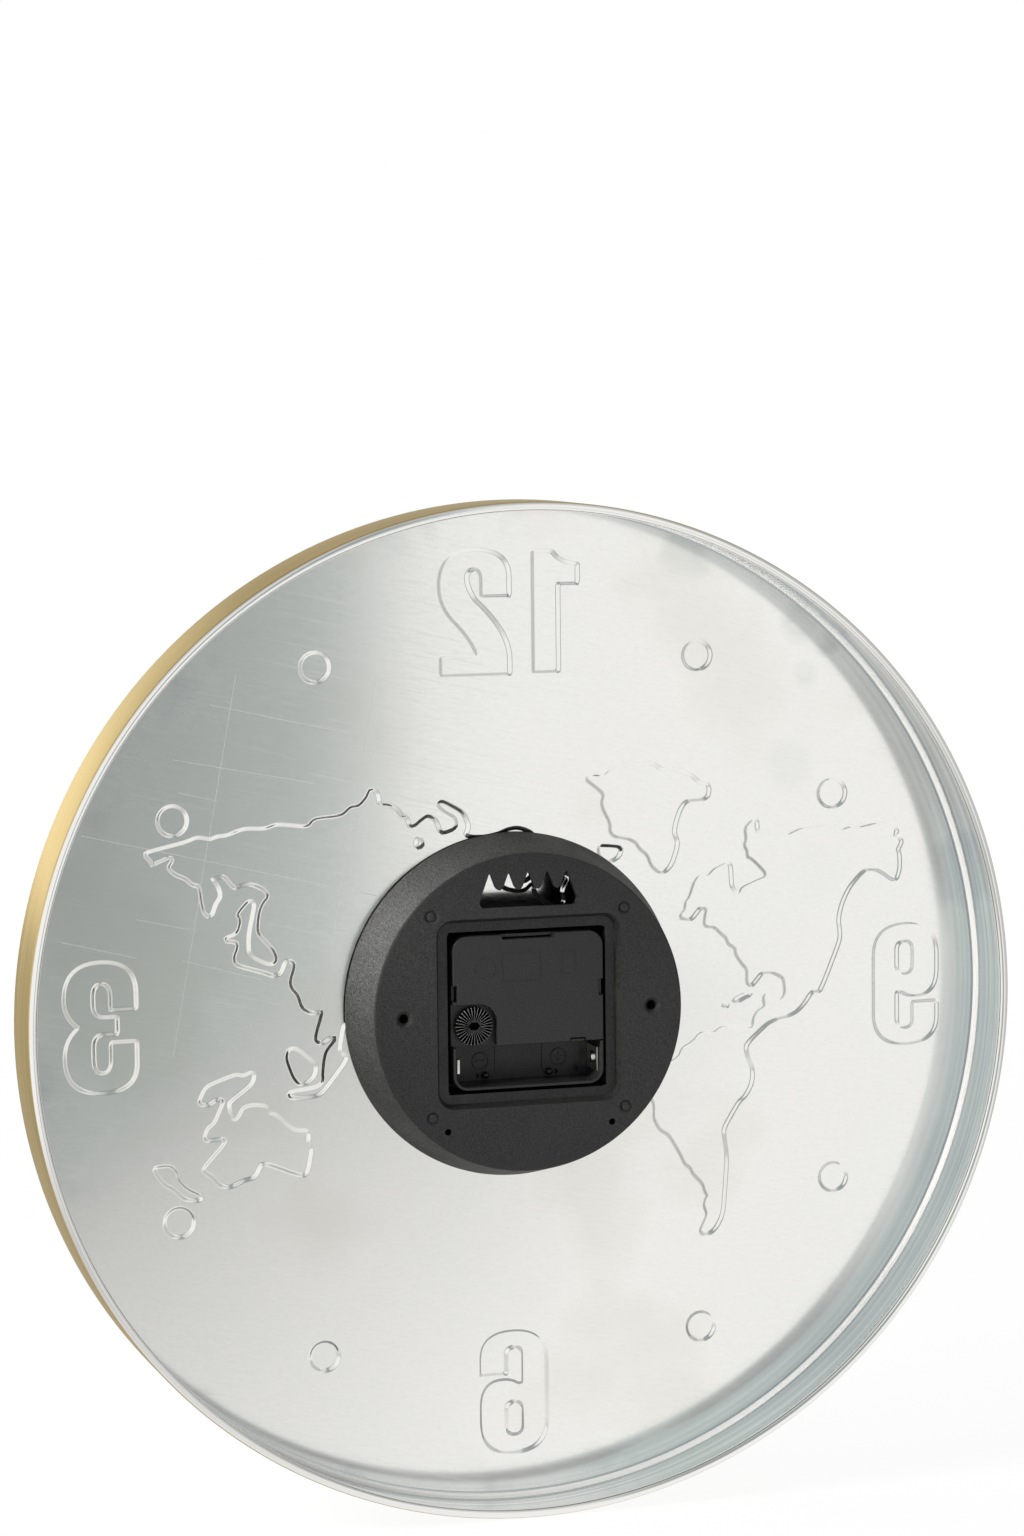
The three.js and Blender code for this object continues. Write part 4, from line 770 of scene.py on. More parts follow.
def dialFigures(s):
    coasts = [america, greenland, eurasia, australia, *islands]
    numerals = [one, two, three, six, sixEye, halfTurn(six), halfTurn(sixEye)]
    loops = [resample(cutCorners(cutCorners(asLoop(c), s["coastCut"])), s["step"]) for c in coasts]
    loops += [cutCorners(resample(asLoop(n), s["step"]))[::2] for n in numerals]
    for hour in s["dotHours"]:
        turn = math.pi / 2 - hour * math.pi / 6
        centre = (s["dotCircle"] * math.cos(turn), s["dotCircle"] * math.sin(turn))
        loops.append(circle(s["dotRadius"], s["dotSides"], centre))
    return loops


def depthInside(points, loops):
    # signed distance to the nearest outline, positive inside a figure, and the way it grows
    starts = np.vstack(loops)
    run = np.vstack([np.roll(loop, -1, 0) for loop in loops]) - starts
    lengthSquared = np.maximum(np.sum(run * run, 1), tiny)
    depths, ways = [], []
    for part in inParts(points):
        away = part[:, None, :] - starts[None]
        t = np.clip(np.sum(away * run[None], 2) / lengthSquared[None], 0, 1)
        gap = away - t[:, :, None] * run[None]
        square = np.sum(gap * gap, 2)
        pick = np.argmin(square, 1)
        rows = np.arange(len(part))
        nearest = np.sqrt(square[rows, pick])
        sign = np.where(insideLoops(part, loops), 1, -1)
        depths.append(sign * nearest)
        ways.append(gap[rows, pick] * (sign / np.maximum(nearest, tiny))[:, None])
    return np.concatenate(depths), np.concatenate(ways)


def readAll(items, field, count, kind):
    values = np.empty(count, kind)
    items.foreach_get(field, values)
    return values


def setNormals(piece, marks, normals):
    # exact normals on the faces with these marks, the usual ones elsewhere
    mesh = piece.data
    corners, faces = len(mesh.loops), len(mesh.polygons)
    corner = readAll(mesh.loops, "vertex_index", corners, int)
    counts = readAll(mesh.polygons, "loop_total", faces, int)
    finish = readAll(mesh.polygons, "material_index", faces, int)
    usual = readAll(mesh.corner_normals, "vector", corners * 3, float).reshape(-1, 3)
    chosen = np.repeat(np.isin(finish, marks), counts)
    usual[chosen] = normals[corner[chosen]]
    mesh.normals_split_custom_set(usual)


def panProfile(s, front, radius, rear):
    # stretches of radius and y from the dial's front round the rolled edge, each with its finish
    bead, fillet = s["bead"], s["fillet"]
    flat, turnY = radius - fillet, front + fillet
    halfway = (turnY + rear - bead) / 2
    outside = arc(flat, turnY, fillet, -90, 0, s["filletSteps"])[1:] + [(radius, halfway)]
    rolled = arc(radius - bead, rear - bead, bead, 0, 180, s["beadSteps"])
    wall = radius - s["sheet"]
    tuck = 2 * bead - s["sheet"]
    shares = np.linspace(0, 1, s["lipSteps"] + 1)[1:]
    curl = [(wall - tuck * (1 - smoothStep(t)), rear - bead - s["lip"] * t) for t in shares]
    inner = arc(flat, turnY, fillet - s["sheet"], 0, -90, s["filletSteps"])[:-1]
    gold = s["goldSteps"]
    return (
        (outside + rolled[:gold], 0),
        (rolled[gold:], 4),
        (curl + [(wall, halfway)] + inner[:1], 3),
        # painted highlight on the corner's fillet
        (inner[1:-1], 5),
        # painted shade at the corner's foot
        (inner[-1:], 6),
    )


def pressedPan(s):
    radius, rear = trayHigh[0], trayHigh[1]
    front = trayLow[1] + s["pressed"]
    figures = dialFigures(s)
    rim = circle(radius - s["fillet"], s["sides"])
    hole = circle(s["hole"], s["holeSides"])
    seatRing = circle(s["seat"][1], s["seatSides"])
    rings = [offsetLoop(loop, d) for loop in figures for d in s["rings"]]
    corners, triangles, rows = triangulate([rim, hole, seatRing] + rings, [rim, hole])
    inside, ways = depthInside(corners, figures)
    share = np.clip(inside / s["embossWall"] + 0.5, 0, 1)
    fade = smoothStep((np.hypot(*corners.T) - s["seat"][0]) / (s["seat"][1] - s["seat"][0]))
    rise = smoothStep(share) * s["embossHeight"] * fade
    slope = 6 * share * (1 - share) / s["embossWall"] * s["embossHeight"] * fade
    normals = np.stack([ways[:, 0] * slope, np.ones(len(ways)), ways[:, 1] * slope], 1)
    normals /= np.linalg.norm(normals, axis=1)[:, None]
    shell = Shell()
    backRow = shell.add(corners, front + s["sheet"] - rise)
    frontRow = shell.add(corners, front - rise)
    for a, b, c in triangles:
        shell.face((backRow[a], backRow[b], backRow[c]), 1)
        shell.face((frontRow[a], frontRow[c], frontRow[b]), 2)
    shell.band([frontRow[i] for i in rows[1]], [backRow[i] for i in rows[1]], 3)
    previous = [frontRow[i] for i in rows[0]]
    for stretch, mark in panProfile(s, front, radius, rear):
        for r, y in stretch:
            fresh = shell.add(circle(r, s["sides"]), y)
            shell.band(previous, fresh, mark)
            previous = fresh
    # the last band, at the corner's foot, takes the painted shade too
    shell.band(previous, [backRow[i] for i in rows[0]], 6)
    finishes = [goldSkirt, bareAluminium, goldFace, rimAluminium, rolledAluminium, cornerPaintedHighlight, paintedCornerShade]
    pan = shell.finish("dialTray", finishes, sharp=70, weighted=False)
    rest = np.zeros((len(shell.points) - 2 * len(corners), 3))
    setNormals(pan, (1, 2), np.vstack([normals, -normals, rest]))
    return pan


dialTray = dress(pressedPan(panSet), "case", "pressed_sheet", "dial_tray")
print("pan pressed:", len(dialTray.data.vertices), "points")


# housing behind the dial
housingSet = {
    "faceRadius": 58.3,
    "edge": 0.9,
    "edgeSteps": 5,
    "wall": 2.0,
    "floor": 2.0,
    "sides": 160,
    "boreRadius": 5.3,
    "bumpHeight": 0.8,               # of the bumps in the frame
    "windowGap": 1.5,
    "windowCorner": 0.4,
    "landMargin": 4.15,
    "landDepth": 3.2,
    "landWall": 1.4,
    "landCorner": 5.5,
    "bump": (36.63, 1.8, 2.85),      # place, dome and moat radius
    "domeHeight": 0.85,
    "domeRings": (0.3, 0.6, 0.8, 0.92, 1.0),
    "moatDepth": 0.6,
    "moatRings": (0.15, 0.5, 0.8),
    "screw": (47.0, 1.7, 3.1),       # place, hole and countersink radius
    "screwDepth": 9.0,
    "screwTaper": 0.7,
    "screwSkin": 1.0,
    "sinkRings": (-0.05, 0.25),
    "vent": (31.18, -41.99, 1.25),
    "label": (16.4, -54.0, -44.7, 0.18),     # half width, low, high and depth of the bare plate
    "labelCorner": (0.6, 0.7),
    "labelWall": 0.5,
    "labelRings": (-0.3, 0, 0.3),
    "slotTop": 51.0,
    "slotBottom": 38.6,
    "slotHalf": 18.4,
    "slotCorner": (1.9, 2.7),
    "slotBulge": (0.1, 0.2),
    "notchPitch": 7.25,
    "notchRound": (0.55, 0.45, 0.5),   # half width, handle and height of a notch's round end
    "toothTip": 45.0,
    "tipRound": 1.4,
    "flankLean": 0.37,
    "holeSides": 24,
    "ventSides": 20,
    "ringGap": 0.4,                  # to the last ring of points round a form
    "ringStep": (2.0, 1.6),          # between points along the window and along the land
}


def rectDepth(points, left, right, bottom, top, radius):
    # distance inside a rounded rectangle, negative outside
    middle = np.array([(left + right) / 2, (bottom + top) / 2])
    half = np.array([(right - left) / 2, (top - bottom) / 2]) - radius
    q = np.abs(points - middle) - half
    outside = np.hypot(*np.maximum(q, 0).T)
    return radius - outside - np.minimum(np.max(q, 1), 0)


def widened(box, d):
    return box[0] - d, box[1] + d, box[2] - d, box[3] + d


def fourWays(place):
    return [(x, z) for x in (-place, place) for z in (-place, place)]


def hangerOutline(s):
    # five rounded notches over a wide slot with rounded lower corners
    top, tip, low = s["slotTop"], s["toothTip"], s["slotBottom"]
    half, pitch, soft = s["slotHalf"], s["notchPitch"], s["tipRound"]
    (inset, lift), (bulge, sag) = s["slotCorner"], s["slotBulge"]
    wide, handle, drop = s["notchRound"]
    out = wide + (top - drop - tip - soft) * s["flankLean"]
    steps = [(-half + inset, low), (half - inset, low), (half + bulge, low + sag, half, low + lift)]
    for notch in (2, 1, 0, -1, -2):
        x = notch * pitch
        steps += [(x + wide, top - drop), (x + handle, top, x, top), (x - handle, top, x - wide, top - drop)]
        if notch > -2:
            steps += [(x - out, tip + soft), (x - pitch / 2, tip - soft, x - pitch + out, tip + soft)]
    steps += [(-half, low + lift), (-half - bulge, low + sag, -half + inset, low)]
    return asLoop(drawPath(steps, 7)[:-1])


def housingHeights(points, s, land):
    slope = np.clip(rectDepth(points, *land, s["landCorner"]) / s["landWall"] + 0.5, 0, 1)
    high = -s["landDepth"] * slope
    place, dome, moat = s["bump"]
    for x, z in fourWays(place):
        r = np.hypot(points[:, 0] - x, points[:, 1] - z)
        high += np.where(r < dome, s["domeHeight"] * np.sqrt(np.maximum(0, 1 - (r / dome) ** 2)), 0)
        t = np.clip((r - dome) / (moat - dome), 0, 1)
        high -= np.where(r < dome, s["moatDepth"], s["moatDepth"] * (1 - smoothStep(t)))
    place, bore, sink = s["screw"]
    for x in (-place, place):
        r = np.hypot(points[:, 0] - x, points[:, 1])
        high -= np.clip(sink - r, 0, sink - bore)
    half, low, top, depth = s["label"]
    plate = rectDepth(points, -half, half, low, top, s["labelCorner"][0])
    high -= depth * smoothStep(plate / s["labelWall"] + 0.5)
    return high


def faceRings(s, land):
    # loops of points where the rear face bends
    sides = s["holeSides"]
    half, gap = s["landWall"] / 2, s["ringGap"]
    rings = []
    for d in (-half - gap, -half, 0, half, half + gap):
        rings.append(resample(roundRect(*widened(land, d), s["landCorner"] + d, 8), s["ringStep"][1]))
    place, dome, moat = s["bump"]
    reaches = [dome * share for share in s["domeRings"]] + [dome + d for d in s["moatRings"]]
    reaches += [moat, moat + gap]
    for spot in fourWays(place):
        rings += [circle(r, sides, spot) for r in reaches]
    place, _, sink = s["screw"]
    for x in (-place, place):
        rings += [circle(sink + d, sides, (x, 0)) for d in s["sinkRings"]]
    half, low, top, _ = s["label"]
    for d in s["labelRings"]:
        plate = roundRect(*widened((-half, half, low, top), d), s["labelCorner"][1] + d, 3)
        rings.append(resample(plate, s["ringStep"][0]))
    return rings


def blindHole(shell, loop, starts, depth, taper):
    # the skin of a hole that ends inside, and its outside
    centre = loop.mean(0)
    for start, y, slim in zip(starts, depth, taper):
        end = shell.add(centre + (loop - centre) * slim, y)
        shell.band(start, end)
        shell.fan(end, shell.add([centre], y)[0])


def blackHousing(s):
    rear = housingHigh[1] - s["bumpHeight"]
    front, base = housingLow[1], housingHigh[0]
    window = widened((caseLow[0], caseHigh[0], caseLow[2], caseHigh[2]), s["windowGap"])
    land = widened(window, s["landMargin"])
    edge, face = s["edge"], s["faceRadius"]
    rim = circle(face - edge, s["sides"])
    place, bore, _ = s["screw"]
    ventX, ventZ, ventRadius = s["vent"]
    screws = [circle(bore, s["holeSides"], (x, 0)) for x in (-place, place)]
    vents = [circle(ventRadius, s["ventSides"], (x, ventZ)) for x in (-ventX, ventX)]
    windowLoop = resample(roundRect(*window, s["windowCorner"], 3), s["ringStep"][0])
    holes = [windowLoop, hangerOutline(s), *screws, *vents]
    corners, triangles, rows = triangulate([rim] + holes + faceRings(s, land), [rim] + holes)
    high = housingHeights(corners, s, land)
    shell = Shell()
    outer = shell.add(corners, rear + high)
    inner = shell.add(corners, rear + high - s["wall"])
    for a, b, c in triangles:
        shell.face((outer[a], outer[b], outer[c]))
        shell.face((inner[a], inner[c], inner[b]))
    deep = rear - s["screwDepth"]
    for loop, row in zip(holes, rows[1:]):
        top, under = [outer[i] for i in row], [inner[i] for i in row]
        if any(loop is screw for screw in screws):
            blindHole(shell, loop, (top, under), (deep, deep - s["screwSkin"]), (s["screwTaper"], 1))
        else:
            shell.band(top, under)
    profile = arc(face - edge, rear - edge, edge, 90, 10, s["edgeSteps"])[1:]
    profile += [(base, front), (base - s["wall"], front)]
    previous = [outer[i] for i in rows[0]]
    # the band down the side takes the paler plastic, painted light
    for k, (r, y) in enumerate(profile):
        fresh = shell.add(circle(r, s["sides"]), y)
        shell.band(previous, fresh, 1 if k == len(profile) - 2 else 0)
        previous = fresh
    shell.band(previous, [inner[i] for i in rows[0]])
    movementPocket(shell, s, window, front, rear - s["landDepth"] - s["wall"])
    return shell.finish("movementHousing", [blackMoulded, blackSidePaintedLight], sharp=38)


def movementPocket(shell, s, window, front, top):
    # walls and floor round the movement
    wall = s["wall"]
    outside = roundRect(*widened(window, wall), wall, 3)
    inside = roundRect(*window, s["windowCorner"], 3)
    bore = circle(s["boreRadius"], 32)
    floor = front + s["floor"]
    outLow, outTop = shell.add(outside, front), shell.add(outside, top)
    inTop, inLow = shell.add(inside, top), shell.add(inside, floor)
    boreTop, boreLow = shell.add(bore, floor), shell.add(bore, front)
    for first, second in ((outLow, outTop), (outTop, inTop), (inTop, inLow), (boreTop, boreLow)):
        shell.band(first, second)
    shell.cap([inside, bore], [inLow, boreTop], floor)
    shell.cap([outside, bore], [outLow, boreLow], front)


dress(blackHousing(housingSet), "case", "black_plastic", "movement_housing")
print("housing moulded")


# movement: case with its battery bay, cover, knob and contacts
movementSet = {
    "corner": 5.5,
    "wall": 1.2,
    "floor": 1.8,
    "splitGap": 0.3,
    "innerCorner": 0.3,
    "bushHole": 5.1,
    "bayHeight": 14.8,
    "bayCorner": 2.5,
    "bayRim": 4.3,
    "rimEdge": 0.5,
    "drains": ((15.6, -24.9, 0.9), (-14.6, -24.9, 0.9), (-22.4, -24.2, 1.0)),
    "drainFloor": 0.4,
    "sink": 0.1,                         # how deep a raised form is rooted
    "minus": (14.2, -19.4),
    "plus": (-15.8, -19.4),
    "markRadius": 3.3,
    "markLine": 0.6,
    "markLift": 0.4,
    "plusDrop": 0.01,                    # keeps the two bars of the plus from sharing a face
    "markEdge": 0.15,
    "bar": (1.7, 0.32),                  # half length and half width
    "barEdge": 0.08,
    "barCorner": 0.1,
    "pegs": ((12.5, -24.6), (-11.8, -24.6)),
    "peg": ((1.35, -0.1), (1.3, 1.5), (1.0, 2.1), (0.5, 2.4)),     # radius and height
    "pegTop": 2.5,
    "bayStrip": (0.4, 1.5, 1.3, 0.3),    # inset and corner, width, height, edge
    "stripGap": 0.02,
    "ribs": (-9.5, 8.5),
    "ribEnds": (-24, -14.5),
    "ribHalf": 0.25,
    "ribLift": 0.35,
    "coverEdge": 0.45,
    "stepEdge": 0.15,
    "hiddenEdge": (0.05, 0.02),
    "overlap": (0.2, 0.05),              # how far one layer of the cover reaches into the next
    "ceilingInset": 0.8,
    "snap": (4.97, 10.77, 1.6),          # low, high, depth
    "tab": (9.4, 1.7, 0.9),              # half width, depth, slant
    "latch": (-18.81, 2.9, 1.2),         # middle, half width, depth
    "tongue": 0.45,                      # slot left round the latch tongue
    "tongueDrop": 0.25,
    "notchDepth": 2.5,
    "pocket": (11.9, 3.77, 7.0, 3.6),    # side, top, corner, depth
    "stemGap": 0.2,
    "panels": ((-4.6, 10.2, 11.6, 22.2, 0.5), (-17.8, -12.4, 13.2, 21.8, 0.5), (12.5, 20.5, 12.8, 20.8, 3.9)),
    "panelLine": 0.35,
    "panelLift": 0.15,
    "panelEdge": 0.1,
}


def pocketCorner(side, upper, turn, half, bottom):
    return [(side, bottom)] + arc(side + turn, upper - turn, turn, 180, 90, 10) + [(half, upper)]


def coverOutline(s, notched, pocketed):
    half, bottom, top = coverHigh[0], coverLow[2], coverHigh[2]
    corner = s["corner"]
    low, high, bite = s["snap"]
    points = [(-half, bottom)]
    if notched:
        middle, reach, depth = s["latch"]
        points += [(middle - reach, bottom), (middle - reach, bottom + depth)]
        points += [(middle + reach, bottom + depth), (middle + reach, bottom)]
    if pocketed:
        side, upper, turn, _ = s["pocket"]
        points += pocketCorner(side, upper, turn, half, bottom)
    else:
        points.append((half, bottom))
    if notched:
        points += [(half, low), (half - bite, low), (half - bite, high), (half, high)]
    points += arc(half - corner, top - corner, corner, 0, 90, 10)
    if notched:
        reach, depth, slant = s["tab"]
        points += [(reach + slant, top), (reach, top - depth), (-reach, top - depth), (-reach - slant, top)]
    points += arc(corner - half, top - corner, corner, 90, 180, 10)
    if notched:
        points += [(-half, high), (bite - half, high), (bite - half, low), (-half, low)]
    return np.array(points)


def coverRoom(s, pocketed, inset=0.0):
    wall = s["wall"] + inset
    half, bottom, top = coverHigh[0] - wall, coverLow[2] + wall, coverHigh[2] - wall
    turn = s["corner"] - s["wall"]
    points = [(-half, bottom)]
    if pocketed:
        side, upper, corner, _ = s["pocket"]
        points += pocketCorner(side - wall, upper + wall, corner + wall, half, bottom)
    else:
        points.append((half, bottom))
    points += arc(half - turn, top - turn, turn, 0, 90, 8)
    points += arc(turn - half, top - turn, turn, 90, 180, 8)
    return np.array(points)


def rearCover(s):
    shell = Shell()
    front, rear = coverLow[1], coverHigh[1]
    pocketFloor = rear - s["pocket"][3]
    underPocket = pocketFloor - s["wall"]
    notchFloor = rear - s["notchDepth"]
    ceiling = rear - s["wall"]
    stem = circle(knobSet["stem"] + s["stemGap"], 24, knobCentre)
    plain = coverOutline(s, False, False)
    pocketed = coverOutline(s, False, True)
    notched = coverOutline(s, True, True)
    room = coverRoom(s, True)
    edge, (seamEdge, ceilingEdge) = s["stepEdge"], s["hiddenEdge"]
    over, skinOver = s["overlap"]
    slab(shell, plain, front, underPocket, seamEdge, [coverRoom(s, False)])
    slab(shell, plain, underPocket, pocketFloor, edge, [room, stem])
    slab(shell, pocketed, pocketFloor - over, notchFloor, edge, [room])
    slab(shell, notched, notchFloor - over, ceiling, ceilingEdge, [coverRoom(s, True, s["ceilingInset"])])
    slab(shell, notched, ceiling - skinOver, rear, s["coverEdge"], steps=4)
    for x0, x1, z0, z1, corner in s["panels"]:
        ring = roundRect(x0, x1, z0, z1, corner, 6)
        line = [offsetLoop(ring, -s["panelLine"])]
        slab(shell, ring, rear - s["sink"], rear + s["panelLift"], s["panelEdge"], line, steps=2)
    middle, reach, depth = s["latch"]
    half, low = reach - s["tongue"], coverLow[2]
    tongue = roundRect(middle - half, middle + half, low, low + depth - s["tongue"], s["barCorner"])
    slab(shell, tongue, notchFloor - over, rear - s["tongueDrop"], s["barEdge"])
    return shell.finish("rearCover", [blackSmooth], sharp=38)


def caseTub(s):
    shell = Shell()
    front, rear = caseLow[1], caseHigh[1]
    inside = front + s["floor"]
    split = coverLow[1] - s["splitGap"]
    wall, corner = s["wall"], s["corner"]
    half = caseHigh[0] - wall
    bayTop = coverLow[2]
    bayBottom = bayTop - s["bayHeight"]
    tight, wide, deep = s["innerCorner"], corner - wall, s["bayCorner"]
    outline = roundRect(caseLow[0], caseHigh[0], caseLow[2], caseHigh[2], corner, 10)
    room = roundRect(-half, half, bayTop + wall, caseHigh[2] - wall, (tight, wide, wide, tight), 8)
    bay = roundRect(-half, half, bayBottom, bayTop, (deep, tight, tight, deep), 8)
    bush = circle(s["bushHole"], 32)
    drains = [circle(r, 16, (x, z)) for x, z, r in s["drains"]]
    outer = [shell.add(outline, y) for y in (front, split)]
    rooms = [shell.add(room, y) for y in (inside, split)]
    bays = [shell.add(bay, y) for y in (inside, split)]
    bushes = [shell.add(bush, y) for y in (front, inside)]
    for low, high in (outer, rooms, bays, bushes):
        shell.band(low, high)
    shell.cap([outline, bush], [outer[0], bushes[0]], front)
    shell.cap([outline, room, bay], [outer[1], rooms[1], bays[1]], split)
    shell.cap([room, bush], [rooms[0], bushes[1]], inside)
    drainTops = [shell.add(loop, inside) for loop in drains]
    shell.cap([bay, *drains], [bays[0], *drainTops], inside)
    drainFloor = front + s["drainFloor"]
    for loop, top in zip(drains, drainTops):
        low = shell.add(loop, drainFloor)
        shell.band(top, low)
        shell.cap([loop], [low], drainFloor)
    bayRim(shell, s, split, rear, bayTop - s["splitGap"], bayBottom)
    bayMarks(shell, s, inside)
    return shell.finish("caseFront", [blackSmooth], sharp=38)


def bayRim(shell, s, low, rear, top, bottom):
    # the wall that stands round three sides of the bay
    half, corner, turn = caseHigh[0], s["corner"], s["bayRim"]
    inner = half - s["wall"]
    points = [(half, top), (inner, top)]
    points += arc(inner - turn, bottom + turn, turn, 0, -90, 8)
    points += arc(turn - inner, bottom + turn, turn, -90, -180, 8)
    points += [(-inner, top), (-half, top)]
    points += arc(corner - half, caseLow[2] + corner, corner, 180, 270, 8)
    points += arc(half - corner, caseLow[2] + corner, corner, 270, 360, 8)
    slab(shell, np.array(points), low - s["sink"], rear, s["rimEdge"])


def bayMarks(shell, s, floor):
    # polarity marks, pegs, a strip under the cover and two ribs on the bay's floor
    low, lift = floor - s["sink"], floor + s["markLift"]
    radius, (long, slim) = s["markRadius"], s["bar"]

    def bar(x, z, halfX, halfZ, high):
        box = (x - halfX, x + halfX, z - halfZ, z + halfZ)
        slab(shell, roundRect(*box, s["barCorner"]), low, high, s["barEdge"])

    for x, z in (s["minus"], s["plus"]):
        ring = [circle(radius - s["markLine"], 32, (x, z))]
        slab(shell, circle(radius, 32, (x, z)), low, lift, s["markEdge"], ring)
        bar(x, z, long, slim, lift)
    bar(*s["plus"], slim, long, lift - s["plusDrop"])
    for peg in s["pegs"]:
        side = [(r, floor + y) for r, y in s["peg"]]
        spin(shell, [(0, low), *side, (0, floor + s["pegTop"])], 20, peg)
    inset, wide, high, edge = s["bayStrip"]
    half = caseHigh[0] - s["wall"] - inset
    top = coverLow[2] - s["stripGap"]
    slab(shell, roundRect(-half, half, top - wide, top, inset, 3), low, floor + high, edge)
    ribLow, ribHigh = s["ribEnds"]
    for x in s["ribs"]:
        bar(x, (ribLow + ribHigh) / 2, s["ribHalf"], (ribHigh - ribLow) / 2, floor + s["ribLift"])


knobSet = {
    "teeth": 32,
    "tooth": (1, 1, 0, 0, 0, 0),      # heights along one tooth, its crest first
    "groove": 1.2,
    "grooveEnds": ((0.0, 0.35), (0.08, 0.9), (0.5, 1.0), (0.88, 1.0)),     # way out and depth, as shares
    "rimGroove": 0.35,
    "rimEdge": (0.12, 0.4),           # how far the rim's edge is cut back, and down
    "socket": (2.3, 1.65),            # half width and half height of the hexagonal socket
    "socketDepth": 2.7,
    "socketDrop": 0.45,
    "socketTaper": 0.9,
    "collar": 2.4,
    "collarDrop": 0.30,
    "collarGap": 0.15,
    "stem": 1.6,
    "stemSink": 0.5,
    "floorGap": 0.3,
}


def hexagonReach(turns):
    # the way to a hexagon's side, with its inner circle as 1
    return 1 / np.cos(np.mod(turns, math.pi / 3) - math.pi / 6)


def settingKnob(s):
    shell = Shell()
    rear = knobHigh[1]
    low = coverHigh[1] - movementSet["pocket"][3] + s["floorGap"]
    end = caseLow[1] + movementSet["floor"] - s["stemSink"]
    radius = (knobHigh[0] - knobLow[0]) / 2
    count = s["teeth"] * len(s["tooth"])
    turns, ways = waysRound(count)
    wave = np.tile(s["tooth"], s["teeth"])
    sunk = s["groove"] * (1 - wave)
    socket = ways * (math.cos(math.pi / 6) * hexagonReach(turns))[:, None] * np.array(s["socket"])

    def ringOf(reach, height):
        return shell.add(knobCentre + ways * np.broadcast_to(reach, count)[:, None], height)

    rows = [shell.add(knobCentre + socket * s["socketTaper"], rear - s["socketDepth"])]
    rows.append(shell.add(knobCentre + socket, rear - s["socketDrop"]))
    rows.append(ringOf(s["collar"], rear - s["collarDrop"]))
    for share, lift in s["grooveEnds"]:
        reach = s["collar"] + s["collarGap"] + share * (radius - s["collar"])
        rows.append(ringOf(reach, rear - s["collarDrop"] * (1 - lift) - sunk * lift))
    fluted = radius - s["rimGroove"] * (1 - wave)
    back, down = s["rimEdge"]
    rows.append(ringOf(fluted - back, rear - back - sunk))
    rows.append(ringOf(fluted, rear - down - sunk))
    rows.append(ringOf(fluted, low))
    rows.append(ringOf(s["stem"], low))
    rows.append(ringOf(s["stem"], end))
    spokes, grooves = range(3, 8), (0, 3, 4, 5, 6)      # bands with a painted highlight on a crest, and painted shade off it
    for k, (first, second) in enumerate(zip(rows, rows[1:])):
        for i in range(count):
            j = (i + 1) % count
            crest = k in spokes and wave[i] == wave[j] == 1
            mark = 1 if crest else 2 if k in grooves else 0
            shell.face((first[i], first[j], second[j], second[i]), mark)
    # the socket's floor takes the painted shade
    shell.fan(rows[0], shell.add([knobCentre], rear - s["socketDepth"])[0], 2)
    shell.fan(rows[-1], shell.add([knobCentre], end)[0])
    return shell.finish("settingKnob", [blackSmooth, knobCrestPaintedHighlight, knobPaintedShade], sharp=50)


contactSet = {
    "sheet": 0.4,
    "strip": (-23.6, -14.7),       # low and high edge of the strip on the wall
    "stripDrop": 1.2,              # under the sprung leaf
    "leaf": (-21.6, -16.5),        # low and high edge of the sprung leaf
    "leafShare": 0.8,              # of the sheet
    "leafPath": (                  # x and y
        (26.55, 8.45), (26.35, 8.62), (25.95, 8.65), (25.55, 8.45), (25.35, 7.9), (25.4, 6.5), (25.65, 4.0),
        (26.2, 1.0),
    ),
    "studRadius": 2.25,
    "studSides": 28,
    "stud": ((1.0, 0.24), (1.0, 0.9), (0.9, 1.2), (0.7, 1.42), (0.4, 1.52)),     # share of the radius, height
    "soft": 0.08,
}


def ribbon(shell, path, thickness, low, high):
    # a strip bent along a path in x and y
    path = np.array(path, float)
    run = np.gradient(path, axis=0)
    side = np.stack([-run[:, 1], run[:, 0]], 1) / np.hypot(*run.T)[:, None] * thickness / 2
    loop = np.vstack([path + side, (path - side)[::-1]])
    count = len(path)
    rows = [shell.addPoints([(x, y, z) for x, y in loop]) for z in (low, high)]
    shell.band(*rows)
    for row in rows:
        for i in range(count - 1):
            shell.face((row[i], row[i + 1], row[2 * count - 2 - i], row[2 * count - 1 - i]))


def wallStrip(shell, x, low, high, top, s):
    ribbon(shell, [(x, low), (x, low / 2 + high / 2), (x, top)], s["sheet"], *s["strip"])


def finishContact(shell, name, s):
    piece = shell.finish(name, [nickelPlate], weighted=False)
    bevel = piece.modifiers.new("softEdges", "BEVEL")
    bevel.width = s["soft"] * mm
    bevel.segments = 2
    bevel.limit_method = "ANGLE"
    return piece


def negativeContact(s):
    low, high = span("negative_contact")
    shell = Shell()
    wallStrip(shell, high[0] - s["sheet"] / 2, low[1], high[1], high[1] - s["stripDrop"], s)
    ribbon(shell, s["leafPath"], s["sheet"] * s["leafShare"], *s["leaf"])
    return finishContact(shell, "negativeContact", s)


def positiveContact(s):
    low, high = span("positive_contact")
    shell = Shell()
    wallStrip(shell, low[0] + s["sheet"] / 2, low[1], high[1], high[1], s)
    middle = ((low[1] + high[1]) / 2, (low[2] + high[2]) / 2)
    rows = []
    for share, reach in s["stud"]:
        ring = circle(s["studRadius"] * share, s["studSides"], middle)
        rows.append(shell.addPoints([(low[0] + reach, y, z) for y, z in ring]))
    for first, second in zip(rows, rows[1:]):
        shell.band(first, second)
    shell.face(rows[0])
    shell.face(rows[-1])
    return finishContact(shell, "positiveContact", s)


